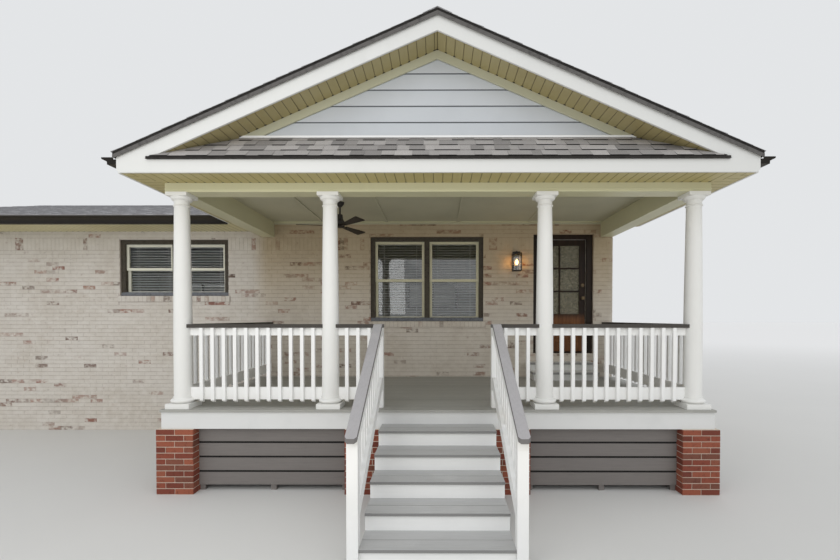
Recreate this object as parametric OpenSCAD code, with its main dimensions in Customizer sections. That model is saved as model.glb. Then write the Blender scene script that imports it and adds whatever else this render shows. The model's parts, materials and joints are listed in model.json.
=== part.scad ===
// A single-storey brick bungalow with a gabled front porch.
//
// X runs along the front of the house to the right, Y from the front to the back, and Z up.
// The pieces are drawn in the porch's own frame: the top of the deck is at Z = 0, its front edge
// at Y = 0 and the middle of the stair at X = 0. placed() then moves the whole house so that the
// origin lies on the ground, under the middle of the house's outline.

/* [House] */
// Length of the house along the front, over the brick
house_len = 13900; // [13500:50:14500]
// Depth of the house over the brick
house_depth = 9140; // [8800:20:9400]
// Thickness of the outer walls
wall_t = 250; // [220:10:280]
// Distance from the middle of the porch to the brick corner on the right
corner_x = 3040; // [3030:5:3060]
// Height of the house floor above the porch deck
floor_rise = 405; // [396:3:414]

/* [Roofs] */
// Rise of the main roof for each unit of run
main_slope = 0.289; // [0.28:0.001:0.3]
// Rise of the porch roof for each unit of run
porch_slope = 0.436; // [0.43:0.001:0.445]
// Height of the porch ridge above the deck
porch_ridge_z = 4187; // [4160:1:4200]
// Height of the shingles above the deck at the edge of the main eaves
main_edge_z = 2640; // [2620:1:2650]
// Overhang of the main eaves beyond the brick
main_overhang = 670; // [640:5:700]
// Overhang of the porch roof beyond the gable wall
gable_overhang = 350; // [330:5:370]
// Distance from the middle of the porch to the outer face of its side fascias
porch_eave_x = 3320; // [3310:5:3330]
// Height of the level soffits above the deck
soffit_z = 2530; // [2525:1:2535]

/* [Porch] */
// Depth of the deck from its front edge to the brick
porch_depth = 2750; // [2650:10:2850]
// Half of the deck's width over the ends of its boards
deck_half = 3080; // [3070:5:3090]
// Height of the underside of the beams above the deck
beam_z = 2425; // [2415:5:2435]
// Width of the beams
beam_w = 210; // [200:5:215]
// Height of the underside of the porch ceiling above the deck
ceiling_z = 2680; // [2670:5:2690]
// Distance of the outer columns from the middle of the porch
outer_column_x = 2912; // [2905:1:2920]
// Distance of the inner columns from the middle of the porch
inner_column_x = 1222; // [1210:1:1235]

/* [Stair] */
// Height of one riser
riser = 157; // [152:1:162]
// Run of one tread
tread = 284; // [278:1:290]
// Number of risers from the ground to the deck
risers = 6; // [5:1:6]
// Half of the stair's width over the treads
stair_half = 615; // [605:5:615]

/* [Railings] */
// Height of the top of the railing above the deck
rail_z = 948; // [930:2:960]
// Side of a baluster
baluster = 38; // [32:1:40]
// Distance from the middle of one baluster to the next
baluster_pitch = 127; // [120:1:135]

/* [Door and fan] */
// Left edge of the doorway in the brick
door_x = 1670; // [1665:1:1680]
// Width of the doorway
door_w = 1040; // [1030:1:1050]
// Height of the doorway
door_h = 2067; // [2055:1:2075]
// Radius of the ceiling fan over its blade tips
fan_r = 600; // [560:10:650]

/* [Hidden] */

$fn = 64;
far = 20000;

// Levels and faces of the house.
ground_z = -risers * riser;
left_x = corner_x - house_len;
rear_y = porch_depth + house_depth;
inner_y = porch_depth + wall_t;
floor_t = 200;
plate_t = 20;

// Roofs: the vertical thickness of a slope, and of the shingles and their board at its edge. The
// walls, and the valleys of the porch roof, stop short of the slope that they meet by seat_gap.
roof_t = 110;
seat_gap = 0.05;
edge_t = 55;
board_t = 25;
drip = 20;
rake_h = 158;
rake_drop = edge_t + rake_h;
fascia_bottom = soffit_z - 8;
soffit_t = 12;
main_fascia_y = porch_depth - main_overhang;
main_drip_y = main_fascia_y - 50;
main_ridge_y = porch_depth + house_depth / 2;
main_ridge_z = main_edge_z + main_slope * (main_ridge_y - main_drip_y);
rear_fascia_y = 2 * main_ridge_y - main_fascia_y;
left_edge = left_x - (porch_eave_x - corner_x);
gable_y = 70;
porch_fascia_y = gable_y - gable_overhang;
porch_drip_x = porch_eave_x + 25;
level_fascia_top = 2661;
pent_top = 3012;

function main_top(y) = main_ridge_z - main_slope * abs(y - main_ridge_y);
function main_y_at(z) = main_ridge_y - (main_ridge_z - z) / main_slope;
function porch_top(x) = porch_ridge_z - porch_slope * abs(x);
valley_foot_y = main_y_at(porch_top(porch_drip_x));
soffit_meet_y = main_y_at(soffit_z + rake_drop);

// Gutters: [width, height, width and height of the low back, height of the foot above the deck].
// The backs are low enough for the shingles to run out over them.
main_gutter = [125, 125, 58, 78, 2502];
porch_gutter = [155, 74, 32, 52, 2606];
gutter_t = 5;

// Porch structure.
column_y = 175;
beam_front_y = gable_y;
beam_back_y = gable_y + beam_w;
deck_board_t = 25;
deck_groove = 4;
deck_board_w = 137.5;
nosing = 25;
rim_h = 190;
rim_t = 38;
joist_pitch = 600;
butt_gap = 1;
pier_w = 406;
outer_pier_x = 3117;
inner_pier_x = 1025;
skirt_y = 117;
skirt_boards = 4;
skirt_board_h = 142;
skirt_pitch = 165;
skirt_top = -237;
side_lap = 4;
batten_w = 40;
batten_t = 15;
batten_middles = [-1977, -870, 350, 1570];

// Columns.
plinth_w = 267;
plinth_h = 56;
abacus_w = 238;
abacus_h = 39;
shaft_r0 = 97.5;
shaft_r1 = 79.5;

// Railings: the cap, the rails beneath it and the panel's place across the deck's edge.
cap_t = 38;
cap_w = 114;
top_rail_h = 89;
low_rail_h = 140;
low_rail_z = 90;
rail_t = 38;
long_bay_shift = -23;
short_bay_shift = -14.5;
post = 89;
stair_rail_x = 660;
newel_y = -1440;
cap_end_y = newel_y - 60;
cap_clip = 28;
stair_cap_out = 2;
slope_low_rail = [600, 740];
slat_foot = 880;
stair_pitch = riser / tread;
string_depth = 180;

// Door.
floor_z = floor_rise;
jamb = [40, 88];
head_jamb = 60;
gap = 7;
leaf_t = 45;
leaf_y = porch_depth + 100;
leaf_x0 = door_x + jamb[0] + gap;
leaf_x1 = door_x + door_w - jamb[1] - gap;
leaf_z0 = floor_z + 20 + gap;
leaf_z1 = floor_z + door_h - head_jamb - gap;
hinge_x = leaf_x0 + 2;
hinge_y = leaf_y + leaf_t + 10;
hinge_h = 50;
hinge_r = 8;
hinge_pin_r = 4;
hinge_plate_t = 2;
hinge_plate_y = [leaf_y + 10, leaf_y + leaf_t - 2];
running_gap = 0.05;
stile = [90, 115];
muntin = 18;
lite_z0 = 1086;
lite_z1 = 2293;

// Ceiling fan.
fan_x = -1398;
fan_y = 1452;
fan_blade_z = 2339;
fan_blade_count = 3;
fan_turn = 188.9;

// Windows: [wall, middle along the wall, sill height, width, height]. On the front and rear walls
// the middle is an X, on the end walls it is a Y.
high_sill = 1405;
high_w = 1896;
high_h = 980;
WINDOWS = [
    ["front", -180, 963, 1962, 1467],
    ["front", -4587, high_sill, high_w, high_h],
    ["front", -9000, high_sill, high_w, high_h],
    ["rear", -180, high_sill, high_w, high_h],
    ["rear", -4587, high_sill, high_w, high_h],
    ["rear", -9000, high_sill, high_w, high_h],
    ["left", main_ridge_y, high_sill, high_w, high_h],
    ["right", main_ridge_y, high_sill, high_w, high_h]
];
brick_sill_h = 100;
brick_sill_out = 20;
window_recess = 30;
frame_w = 75;
frame_d = 110;
sash_w = 45;
sash_t = 35;
sash_inset = 35;
mullion = 90;
pane_t = 6;

x_low = left_edge - drip;
x_high = porch_eave_x + porch_gutter[0];
y_low = cap_end_y;
y_high = rear_fascia_y + main_gutter[0];

white = "#f1f0ea";
cream = "#e9e5cf";
brick_white = "#cfc5b8";
shingle = "#6d6660";
grey = "#8f8e8b";
dark = "#3a332e";

// The house in its final place, with the origin under the middle of its outline.
module placed() {
    translate([-(x_low + x_high) / 2, -(y_low + y_high) / 2, -ground_z]) children();
}

// A block between two corners.
module block(x, y, z) {
    translate([x[0], y[0], z[0]]) cube([x[1] - x[0], y[1] - y[0], z[1] - z[0]]);
}

// The same piece on both sides of the porch.
module both_sides() {
    children();
    mirror([1, 0, 0]) children();
}

// A profile drawn as [Y, Z], swept along X.
module run_x(x0, x1) {
    translate([x0, 0, 0]) rotate([90, 0, 90]) linear_extrude(x1 - x0) children();
}

// A profile drawn as [X, Z], swept along Y.
module run_y(y0, y1) {
    translate([0, y1, 0]) rotate([90, 0, 0]) linear_extrude(y1 - y0) children();
}

// Two sloping bands that meet at the ridge, between two depths below the top of the roof.
module main_band(y_half, top, bottom) {
    low = main_ridge_z - main_slope * y_half;
    polygon([
        [main_ridge_y - y_half, low - bottom],
        [main_ridge_y - y_half, low - top],
        [main_ridge_y, main_ridge_z - top],
        [main_ridge_y + y_half, low - top],
        [main_ridge_y + y_half, low - bottom],
        [main_ridge_y, main_ridge_z - bottom]
    ]);
}

module porch_band(x_half, top, bottom) {
    polygon([
        [-x_half, porch_top(x_half) - bottom],
        [-x_half, porch_top(x_half) - top],
        [0, porch_ridge_z - top],
        [x_half, porch_top(x_half) - top],
        [x_half, porch_top(x_half) - bottom],
        [0, porch_ridge_z - bottom]
    ]);
}

// Everything below a given depth under the porch roof, down to a level.
module under_porch_roof(x_half, depth, floor) {
    polygon([
        [-x_half, floor],
        [-x_half, porch_top(x_half) - depth],
        [0, porch_ridge_z - depth],
        [x_half, porch_top(x_half) - depth],
        [x_half, floor]
    ]);
}

// Everything below a given depth under the main roof.
module under_main_roof(y0, y1, depth, floor) {
    polygon([
        [y0, floor],
        [y0, main_top(y0) - depth],
        [main_ridge_y, main_ridge_z - depth],
        [y1, main_top(y1) - depth],
        [y1, floor]
    ]);
}

// Windows: each child is drawn with its origin at the middle of the sill, in the outer face of
// the wall, with Y into the house. $w and $h give it the size of its opening.
module at_windows(wall) {
    for (one = WINDOWS) {
        if (one[0] == wall) {
            $w = one[3];
            $h = one[4];
            if (wall == "front") translate([one[1], porch_depth, one[2]]) children();
            if (wall == "rear") translate([one[1], rear_y, one[2]]) rotate(180) children();
            if (wall == "left") translate([left_x, one[1], one[2]]) rotate(-90) children();
            if (wall == "right") translate([corner_x, one[1], one[2]]) rotate(90) children();
        }
    }
}

module at_all_windows() {
    for (wall = ["front", "rear", "left", "right"]) at_windows(wall) children();
}

module window_hole() {
    block([-$w / 2, $w / 2], [-wall_t, 2 * wall_t], [0, $h]);
}

// The row of bricks on edge under a window, a little proud of the wall.
module brick_sill() {
    block([-$w / 2 - 30, $w / 2 + 30], [-brick_sill_out, wall_t / 2], [-brick_sill_h, 0]);
}

module pierced(wall) {
    difference() {
        union() {
            children();
            at_windows(wall) brick_sill();
        }
        at_windows(wall) window_hole();
    }
}

// A wall whose top is cut to the porch roof where that roof passes over it.
module under_porch_slopes() {
    difference() {
        children();
        porch_roof();
    }
}

// Walls. Their tops follow the underside of the main roof.
module front_wall_profile() {
    polygon([
        [porch_depth, ground_z],
        [porch_depth, main_top(porch_depth) - roof_t - seat_gap],
        [inner_y, main_top(inner_y) - roof_t - seat_gap],
        [inner_y, ground_z]
    ]);
}

module front_wall() {
    color(brick_white) under_porch_slopes() pierced("front") {
        run_x(left_x, door_x) front_wall_profile();
        block([door_x, door_x + door_w], [porch_depth, inner_y], [ground_z, floor_z]);
    }
}

module front_wall_right() {
    color(brick_white) under_porch_slopes()
        run_x(door_x + door_w, corner_x) front_wall_profile();
}

module front_wall_over_door() {
    color(brick_white) difference() {
        run_x(door_x, door_x + door_w) front_wall_profile();
        block([0, far], [0, far], [ground_z - 1, floor_z + door_h]);
    }
}

module rear_wall() {
    color(brick_white) pierced("rear") {
        translate([0, 2 * main_ridge_y, 0]) mirror([0, 1, 0])
            run_x(left_x, corner_x) front_wall_profile();
    }
}

module end_wall(x0, wall) {
    pierced(wall) run_x(x0, x0 + wall_t)
        under_main_roof(inner_y, rear_y - wall_t, roof_t + seat_gap, ground_z);
}

module left_wall() {
    color(brick_white) end_wall(left_x, "left");
}

module right_wall() {
    color(brick_white) under_porch_slopes() end_wall(corner_x - wall_t, "right");
}

module house_floor() {
    color(grey) block([left_x + wall_t, corner_x - wall_t], [inner_y, rear_y - wall_t],
                      [floor_z - floor_t, floor_z]);
}

module house_ceiling() {
    color(white) block([left_x + wall_t, corner_x - wall_t], [inner_y, rear_y - wall_t],
                       [ceiling_z, ceiling_z + plate_t]);
}

// Main roof: two slopes with a ridge along the house. The porch roof opens its front slope.
module main_roof() {
    half = main_ridge_y - main_fascia_y - board_t;
    color(shingle) difference() {
        union() {
            run_x(left_edge + board_t, porch_eave_x - board_t) main_band(half, edge_t, roof_t);
            run_x(left_edge - drip, porch_eave_x + drip)
                main_band(main_ridge_y - main_drip_y, 0, edge_t);
        }
        run_y(0, main_ridge_y) under_porch_roof(porch_drip_x, roof_t, 0);
        block([-porch_drip_x, far], [0, valley_foot_y], [0, far]);
    }
}

// One end's rake boards, with their feet cut level at the eaves.
module main_rake(x0) {
    run_x(x0, x0 + board_t) intersection() {
        main_band(main_ridge_y - main_fascia_y, edge_t, rake_drop);
        translate([0, fascia_bottom]) square([far, far]);
    }
}

module main_fascia() {
    top = main_top(main_fascia_y) - edge_t;
    color(white) {
        block([left_edge + board_t, -porch_eave_x], [main_fascia_y, main_fascia_y + board_t],
              [fascia_bottom, top]);
        block([left_edge + board_t, porch_eave_x - board_t],
              [rear_fascia_y - board_t, rear_fascia_y], [fascia_bottom, top]);
        main_rake(left_edge);
        difference() {
            main_rake(porch_eave_x - board_t);
            block([0, far], [0, valley_foot_y], [0, far]);
        }
    }
}

// The level soffits under the main eaves, and the sloping ones under the rakes.
module main_soffit() {
    color(cream) {
        block([left_edge + board_t, -corner_x], [main_fascia_y + board_t, porch_depth],
              [soffit_z, soffit_z + soffit_t]);
        block([left_edge + board_t, porch_eave_x - board_t],
              [rear_y, rear_fascia_y - board_t], [soffit_z, soffit_z + soffit_t]);
        for (x = [[left_edge + board_t, left_x], [corner_x, porch_eave_x - board_t]]) {
            difference() {
                run_x(x[0], x[1])
                    main_band(main_ridge_y - soffit_meet_y, rake_drop - soffit_t, rake_drop);
                // The level soffit in the corner closes the foot of the slope.
                block([-far, far], [0, far], [0, soffit_z + soffit_t]);
            }
        }
    }
}

// Porch roof: a front gable whose ridge runs back into the main roof along two valleys.
module porch_roof() {
    color(shingle) difference() {
        union() {
            run_y(porch_fascia_y + board_t, main_ridge_y)
                porch_band(porch_eave_x - board_t, edge_t, roof_t);
            run_y(porch_fascia_y - drip, main_ridge_y) porch_band(porch_drip_x, 0, edge_t);
        }
        run_x(-far, far) under_main_roof(valley_foot_y, main_ridge_y + 100, -seat_gap, 0);
    }
}

// The level fascia and the rake boards are in one plane, and the clipped ends are theirs too.
module porch_fascia() {
    clip = 30;
    color(white) {
        run_y(porch_fascia_y, porch_fascia_y + board_t) difference() {
            union() {
                porch_band(porch_eave_x, edge_t, rake_drop);
                translate([-porch_eave_x, fascia_bottom])
                    square([2 * porch_eave_x, level_fascia_top - fascia_bottom]);
            }
            for (side = [-1, 1]) {
                translate([side * porch_eave_x, fascia_bottom]) rotate(45)
                    square(clip * sqrt(2), center = true);
            }
        }
        block([-porch_eave_x, -porch_eave_x + board_t],
              [porch_fascia_y + board_t, main_fascia_y + board_t],
              [fascia_bottom, porch_top(porch_eave_x) - edge_t]);
        block([porch_eave_x - board_t, porch_eave_x],
              [porch_fascia_y + board_t, valley_foot_y],
              [fascia_bottom, porch_top(porch_eave_x) - edge_t]);
    }
}

module porch_soffit() {
    side_x = porch_eave_x - board_t;
    front_y = porch_fascia_y + board_t;
    color(cream) {
        // In front of the beam and beside it.
        block([-side_x, side_x], [front_y, beam_front_y], [soffit_z, soffit_z + soffit_t]);
        block([-side_x, -corner_x], [beam_front_y, main_fascia_y + board_t],
              [soffit_z, soffit_z + soffit_t]);
        block([corner_x, side_x], [beam_front_y, soffit_meet_y],
              [soffit_z, soffit_z + soffit_t]);
        // Under the rakes of the gable.
        difference() {
            run_y(front_y, gable_y - 12) porch_band(side_x, rake_drop - soffit_t, rake_drop);
            block([-far, far], [-far, far], [0, level_fascia_top + 5]);
        }
    }
}

// Gable wall: lap siding on a backing that stands on the front beam.
siding_exposure = 178;
siding_t = 12;

module gable_wall() {
    laps = ceil((porch_ridge_z - pent_top) / siding_exposure);
    color("#b3b9c0") intersection() {
        union() {
            block([-far, far], [gable_y, gable_y + 60], [ceiling_z + plate_t, far]);
            for (lap = [0 : laps - 1]) {
                z = pent_top + lap * siding_exposure;
                run_x(-far, far) polygon([
                    [gable_y, z], [gable_y - siding_t, z], [gable_y, z + siding_exposure]
                ]);
            }
        }
        run_y(-far, far) under_porch_roof(corner_x - beam_w, roof_t, 0);
        union() {
            block([-far, far], [gable_y, far], [0, far]);
            run_y(-far, far) under_porch_roof(corner_x, rake_drop, 0);
        }
    }
}

// The boards along the rakes on the gable wall, and the flashing board above the small roof.
module gable_trim() {
    frieze_h = 100;
    color(white) {
        run_y(gable_y - siding_t - 20, gable_y - siding_t) intersection() {
            union() {
                porch_band(corner_x, rake_drop, rake_drop + frieze_h);
                translate([-corner_x, pent_top]) square([2 * corner_x, 22]);
            }
            under_porch_roof(corner_x, rake_drop, pent_top);
        }
    }
}

// The small shingled roof at the foot of the gable wall, fitted between the rakes.
module pent_roof() {
    drip_y = porch_fascia_y - 22;
    edge = 29;
    back_y = gable_y - siding_t;
    slope = (pent_top - level_fascia_top - edge) / (back_y - drip_y);
    seat = 62;
    color(shingle) difference() {
        run_x(-porch_eave_x, porch_eave_x) polygon([
            [drip_y, level_fascia_top],
            [drip_y, level_fascia_top + edge],
            [back_y, pent_top],
            [back_y, pent_top - edge - slope * seat],
            [drip_y + seat, level_fascia_top]
        ]);
        run_y(-far, far) difference() {
            translate([-far, 0]) square([2 * far, far]);
            under_porch_roof(far / 4, rake_drop, -far);
        }
    }
}

// An eaves gutter with a stepped and curved face, drawn with its back against Y = 0.
module gutter_profile(size) {
    difference() {
        gutter_outline(size, 0);
        gutter_outline(size, gutter_t);
    }
}

module gutter_outline(size, inset) {
    w = size[0];
    h = size[1];
    foot = 0.62 * w;
    belly_out = w - foot - 8;
    over = inset > 0 ? 1 : 0;
    belly = [for (a = [0 : 15 : 90])
        [-foot - belly_out * (1 - cos(a)) + inset, 0.24 * h + 0.48 * h * sin(a) + inset / 2]];
    polygon(concat(
        [[-inset, inset], [-foot + inset, inset]],
        belly,
        [
            [-w + inset, 0.8 * h + inset],
            [-w + inset, h + over],
            [-size[2], h + over],
            [-size[2], size[3] + over],
            [-inset, size[3] + over]
        ]
    ));
}

// A gutter of a given length along +X, with closed ends, hung on a fascia that faces -Y.
module gutter(size, length) {
    translate([0, 0, size[4]]) {
        run_x(0, length) gutter_profile(size);
        for (x = [0, length - gutter_t]) run_x(x, x + gutter_t) gutter_outline(size, 0);
    }
}

module gutters() {
    corner_gap = 1;
    left_run = main_fascia_y - main_gutter[0] - corner_gap - porch_fascia_y;
    right_run = valley_foot_y - porch_fascia_y;
    main_run = -porch_eave_x - left_edge;
    rear_run = porch_eave_x - left_edge;
    color(dark) {
        translate([left_edge, main_fascia_y, 0]) gutter(main_gutter, main_run);
        translate([porch_eave_x, rear_fascia_y, 0]) rotate(180) gutter(main_gutter, rear_run);
        translate([-porch_eave_x, porch_fascia_y + left_run, 0]) rotate(-90)
            gutter(porch_gutter, left_run);
        translate([porch_eave_x, porch_fascia_y, 0]) rotate(90) gutter(porch_gutter, right_run);
    }
}

// Porch beams, boxed in, with a small bead near the foot of the front one.
module front_beam() {
    bead_z = beam_z + 22;
    color(white) {
        block([-corner_x, corner_x], [beam_front_y, beam_back_y],
              [beam_z, ceiling_z + plate_t]);
        block([-corner_x, corner_x], [beam_front_y - 8, beam_front_y], [bead_z, bead_z + 14]);
    }
}

module side_beams() {
    x = [corner_x - beam_w, corner_x];
    color(white) both_sides() run_y(beam_back_y, porch_depth) polygon([
        [x[0], beam_z], [x[1], beam_z],
        [x[1], porch_top(x[1]) - roof_t - seat_gap], [x[0], porch_top(x[0]) - roof_t - seat_gap]
    ]);
}

// A boarded ceiling with four battens across it and a board along the house.
module porch_ceiling() {
    x = corner_x - beam_w;
    wall_board = [20, 35];
    color(cream) {
        block([-x, x], [beam_back_y, porch_depth], [ceiling_z, ceiling_z + plate_t]);
        for (middle = batten_middles) {
            block([middle - batten_w / 2, middle + batten_w / 2], [beam_back_y, porch_depth],
                  [ceiling_z - batten_t, ceiling_z]);
        }
        block([-x, x], [porch_depth - wall_board[0], porch_depth],
              [ceiling_z - wall_board[1], ceiling_z]);
    }
}

// Columns: a square plinth, a round base, a shaft that thins towards the top, a neck ring, a
// rounded capital and a square abacus.
function half_round(r_in, z0, z1, steps) = [for (i = [0 : steps])
    [r_in + (z1 - z0) / 2 * sin(180 * i / steps), z0 + (z1 - z0) * i / steps]];
function shaft_r(t) = shaft_r0 - (shaft_r0 - shaft_r1) * pow(max(0, t - 0.25) / 0.75, 1.44);
shaft_z0 = plinth_h + 72;
ring_z = beam_z - 149;
echinus_h = 39;
capital_z = beam_z - abacus_h - echinus_h;

module column_body() {
    shaft = [for (i = [0 : 16])
        [shaft_r(i / 16), shaft_z0 + (ring_z - shaft_z0) * i / 16]];
    echinus = [for (a = [0 : 15 : 90])
        [shaft_r1 + 6 + 29 * sin(a), capital_z + echinus_h * (1 - cos(a))]];
    translate([-plinth_w / 2, -plinth_w / 2, 0]) cube([plinth_w, plinth_w, plinth_h]);
    rotate_extrude() polygon(concat(
        [[0, plinth_h]],
        half_round(shaft_r0 + 8, plinth_h, plinth_h + 54, 8),
        [[shaft_r0 + 8, plinth_h + 58], [shaft_r0 + 8, shaft_z0]],
        shaft,
        half_round(shaft_r1, ring_z, ring_z + 22, 6),
        [[shaft_r1, capital_z - 8], [shaft_r1 + 6, capital_z - 8]],
        echinus,
        [[0, beam_z - abacus_h]]
    ));
    translate([-abacus_w / 2, -abacus_w / 2, beam_z - abacus_h])
        cube([abacus_w, abacus_w, abacus_h]);
}

module column(x) {
    color(white) translate([x, column_y, 0]) column_body();
}

module column_1() {
    column(-outer_column_x);
}

module column_2() {
    column(-inner_column_x);
}

module column_3() {
    column(inner_column_x);
}

module column_4() {
    column(outer_column_x);
}

// Deck: boards along the front, with a narrow groove between each and the next.
module porch_deck() {
    boards = floor(porch_depth / deck_board_w);
    color(grey) difference() {
        block([-deck_half, deck_half], [0, porch_depth], [-deck_board_t, 0]);
        for (i = [1 : boards - 1]) {
            block([-far, far], [i * deck_board_w, i * deck_board_w + deck_groove], [-6, 1]);
        }
    }
}

// The white rim boards, the joists behind them and the board bolted to the house. The joists and
// the side boards butt against the front and back boards with a small gap.
module porch_frame() {
    x = deck_half - side_lap;
    y = [nosing + rim_t + butt_gap, porch_depth - rim_t - butt_gap];
    z = [-deck_board_t - rim_h, -deck_board_t];
    joists = floor(2 * x / joist_pitch);
    color(white) {
        block([-x, x], [nosing, nosing + rim_t], z);
        block([-x, x], [porch_depth - rim_t, porch_depth], z);
        both_sides() block([x - rim_t, x], y, z);
        for (i = [1 : joists]) {
            middle = -x + i * 2 * x / (joists + 1);
            block([middle - rim_t / 2, middle + rim_t / 2], y, z);
        }
    }
}

// Brick piers carry the corners of the deck and stand beside the stair.
module brick_piers() {
    top = -deck_board_t - rim_h;
    color("#9c4b3a") both_sides() {
        block([outer_pier_x - pier_w, outer_pier_x], [0, pier_w], [ground_z, top]);
        block([inner_pier_x - pier_w, inner_pier_x], [0, pier_w], [ground_z, top]);
        block([outer_pier_x - pier_w, outer_pier_x], [porch_depth - pier_w, porch_depth],
              [ground_z, top]);
    }
}

// Skirts: level boards with open gaps, held by posts behind them.
module skirt_panel(length) {
    top = -deck_board_t - rim_h;
    for (i = [1 : skirt_boards]) {
        z = skirt_top - i * skirt_pitch + skirt_pitch - skirt_board_h;
        block([0, length], [0, 20], [z, z + skirt_board_h]);
    }
    posts = ceil(length / 900);
    for (i = [0 : posts]) {
        x = i * (length - 60) / posts;
        block([x, x + 60], [20, 60], [ground_z, top]);
    }
}

module porch_skirts() {
    front = outer_pier_x - pier_w - inner_pier_x;
    side = porch_depth - 2 * pier_w;
    color("#5b5650") both_sides() {
        translate([inner_pier_x, skirt_y, 0]) skirt_panel(front);
        translate([outer_pier_x - skirt_y, pier_w, 0]) rotate(90) skirt_panel(side);
    }
}

// A railing panel along X. Its rails run between two ends, drawn with their middle on Y = 0, and
// its balusters share the clear space between two faces, give or take a shift. They stand on the
// outer face of the rails, and their feet are cut at a slant.
module railing_panel(ends, clear, shift) {
    count = floor((clear[1] - clear[0]) / baluster_pitch);
    first = (clear[0] + clear[1] - (count - 1) * baluster_pitch) / 2 + shift;
    y = [-rail_t / 2, rail_t / 2];
    block(ends, y, [rail_z - cap_t - top_rail_h, rail_z - cap_t]);
    block(ends, y, [low_rail_z, low_rail_z + low_rail_h]);
    for (i = [0 : count - 1]) {
        translate([first + i * baluster_pitch, 0, 0]) railing_baluster();
    }
}

module railing_baluster() {
    foot = low_rail_z - 30;
    slant = 0.6 * baluster;
    run_x(-baluster / 2, baluster / 2) polygon([
        [-rail_t / 2, foot], [-rail_t / 2 - baluster, foot + slant],
        [-rail_t / 2 - baluster, rail_z - cap_t], [-rail_t / 2, rail_z - cap_t]
    ]);
}

module railing_cap(ends) {
    block(ends, [-cap_w / 2 - 4, cap_w / 2 - 4], [rail_z - cap_t, rail_z]);
}

// One side of the front railing: a long bay between two columns and a short one by the stair.
// The ends are cut to the round of the columns.
module front_railing() {
    post_x = stair_rail_x + post / 2;
    color(white) difference() {
        translate([0, column_y, 0]) {
            railing_panel([inner_column_x, outer_column_x],
                          [inner_column_x + shaft_r0, outer_column_x - shaft_r0],
                          long_bay_shift);
            railing_panel([post_x, inner_column_x], [post_x, inner_column_x - shaft_r0],
                          short_bay_shift);
            railing_cap([post_x + stair_cap_out, outer_column_x]);
        }
        for (x = [inner_column_x, outer_column_x]) translate([x, column_y, 0]) column_body();
    }
}

module front_railings() {
    both_sides() front_railing();
}

// A side railing runs from the outer column back to the brick.
module side_railing() {
    ends = [column_y, porch_depth];
    color(white) difference() {
        translate([outer_column_x, 0, 0]) rotate(90) {
            railing_panel(ends, [column_y + shaft_r0, porch_depth], 0);
            railing_cap(ends);
        }
        translate([outer_column_x, column_y, 0]) column_body();
    }
}

module side_railings() {
    both_sides() side_railing();
}

// Stair: five treads of two boards each, on cut strings with closed risers.
module stair_treads() {
    color(grey) for (i = [1 : risers - 1]) {
        back = -(i - 1) * tread + nosing;
        front = -i * tread;
        difference() {
            block([-stair_half, stair_half], [front, back], [-i * riser - deck_board_t, -i * riser]);
            block([-far, far], [(front + back) / 2 - 2, (front + back) / 2 + 2],
                  [-i * riser - 6, far]);
        }
    }
}

module string_profile() {
    steps = [for (i = [1 : risers - 1]) each [
        [-(i - 1) * tread + nosing + 20, -i * riser - deck_board_t],
        [-i * tread + nosing + 20, -i * riser - deck_board_t]
    ]];
    foot_y = -(risers - 1) * tread + nosing + 20;
    polygon(concat(
        steps,
        [[foot_y, ground_z], [foot_y + 300, ground_z]],
        [[nosing + 20, -riser - deck_board_t - string_depth]]
    ));
}

module stair_frame() {
    string_x = stair_half - 57;
    color(white) {
        for (x = [-string_x, -rim_t / 2, string_x - rim_t]) {
            run_x(x, x + rim_t) intersection() {
                string_profile();
                translate([-far, -far]) square([far + nosing, 2 * far]);
            }
        }
        for (i = [1 : risers - 1]) {
            y = -i * tread + nosing;
            block([-stair_half, stair_half], [y, y + 20],
                  [-(i + 1) * riser, -i * riser - deck_board_t]);
        }
    }
}

// Stair rails: a cap, rails and balusters between a post on the deck and a newel. The rails are
// level over the deck and slope down with the stair from its edge.
function rail_line(y) = rail_z + stair_pitch * (min(y, nosing) - nosing);

module kinked_bar(x, top, bottom, y0, y1) {
    run_x(x[0], x[1]) polygon([
        [y0, rail_line(y0) - bottom], [y0, rail_line(y0) - top],
        [nosing, rail_z - top], [y1, rail_z - top],
        [y1, rail_z - bottom], [nosing, rail_z - bottom]
    ]);
}

// An upright of the stair rail, with its head cut to the slope of the cap.
module stair_upright(x, y, foot0, foot1) {
    run_x(x[0], x[1]) polygon([
        [y[0], foot0], [y[0], rail_line(y[0]) - cap_t],
        [y[1], rail_line(y[1]) - cap_t], [y[1], foot1]
    ]);
}

module stair_rail() {
    x = [stair_rail_x - post / 2, stair_rail_x + post / 2];
    rail_x = [x[0], x[0] + rail_t];
    slat_x = [rail_x[1], rail_x[1] + baluster];
    cap_x = [x[0] - stair_cap_out, x[1] + stair_cap_out];
    top_y = [column_y - post / 2, column_y + post / 2];
    low_y = [newel_y, newel_y + post];
    slats = floor((top_y[0] - low_y[1]) / baluster_pitch);
    slat_pitch = (top_y[0] - low_y[1]) / (slats + 1);
    color(white) {
        stair_upright(x, top_y, 0, 0);
        stair_upright(x, low_y, ground_z, ground_z);
        kinked_bar(rail_x, cap_t, cap_t + top_rail_h, low_y[1], top_y[0]);
        kinked_bar(rail_x, slope_low_rail[0], slope_low_rail[1], low_y[1], top_y[0]);
        for (i = [1 : slats]) {
            middle = low_y[1] + i * slat_pitch;
            y = [middle - baluster / 2, middle + baluster / 2];
            stair_upright(slat_x, y, rail_line(y[0]) - slat_foot, rail_line(y[1]) - slat_foot);
        }
        difference() {
            kinked_bar(cap_x, 0, cap_t, cap_end_y, top_y[1]);
            for (side = cap_x) {
                translate([side, cap_end_y, 0]) rotate(45)
                    cube([cap_clip, cap_clip, 4000], center = true);
            }
        }
    }
}

module stair_rails() {
    both_sides() stair_rail();
}

// Two broad steps up to the front door.
step_x0 = 1560;
step_x1 = 2640;

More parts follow.
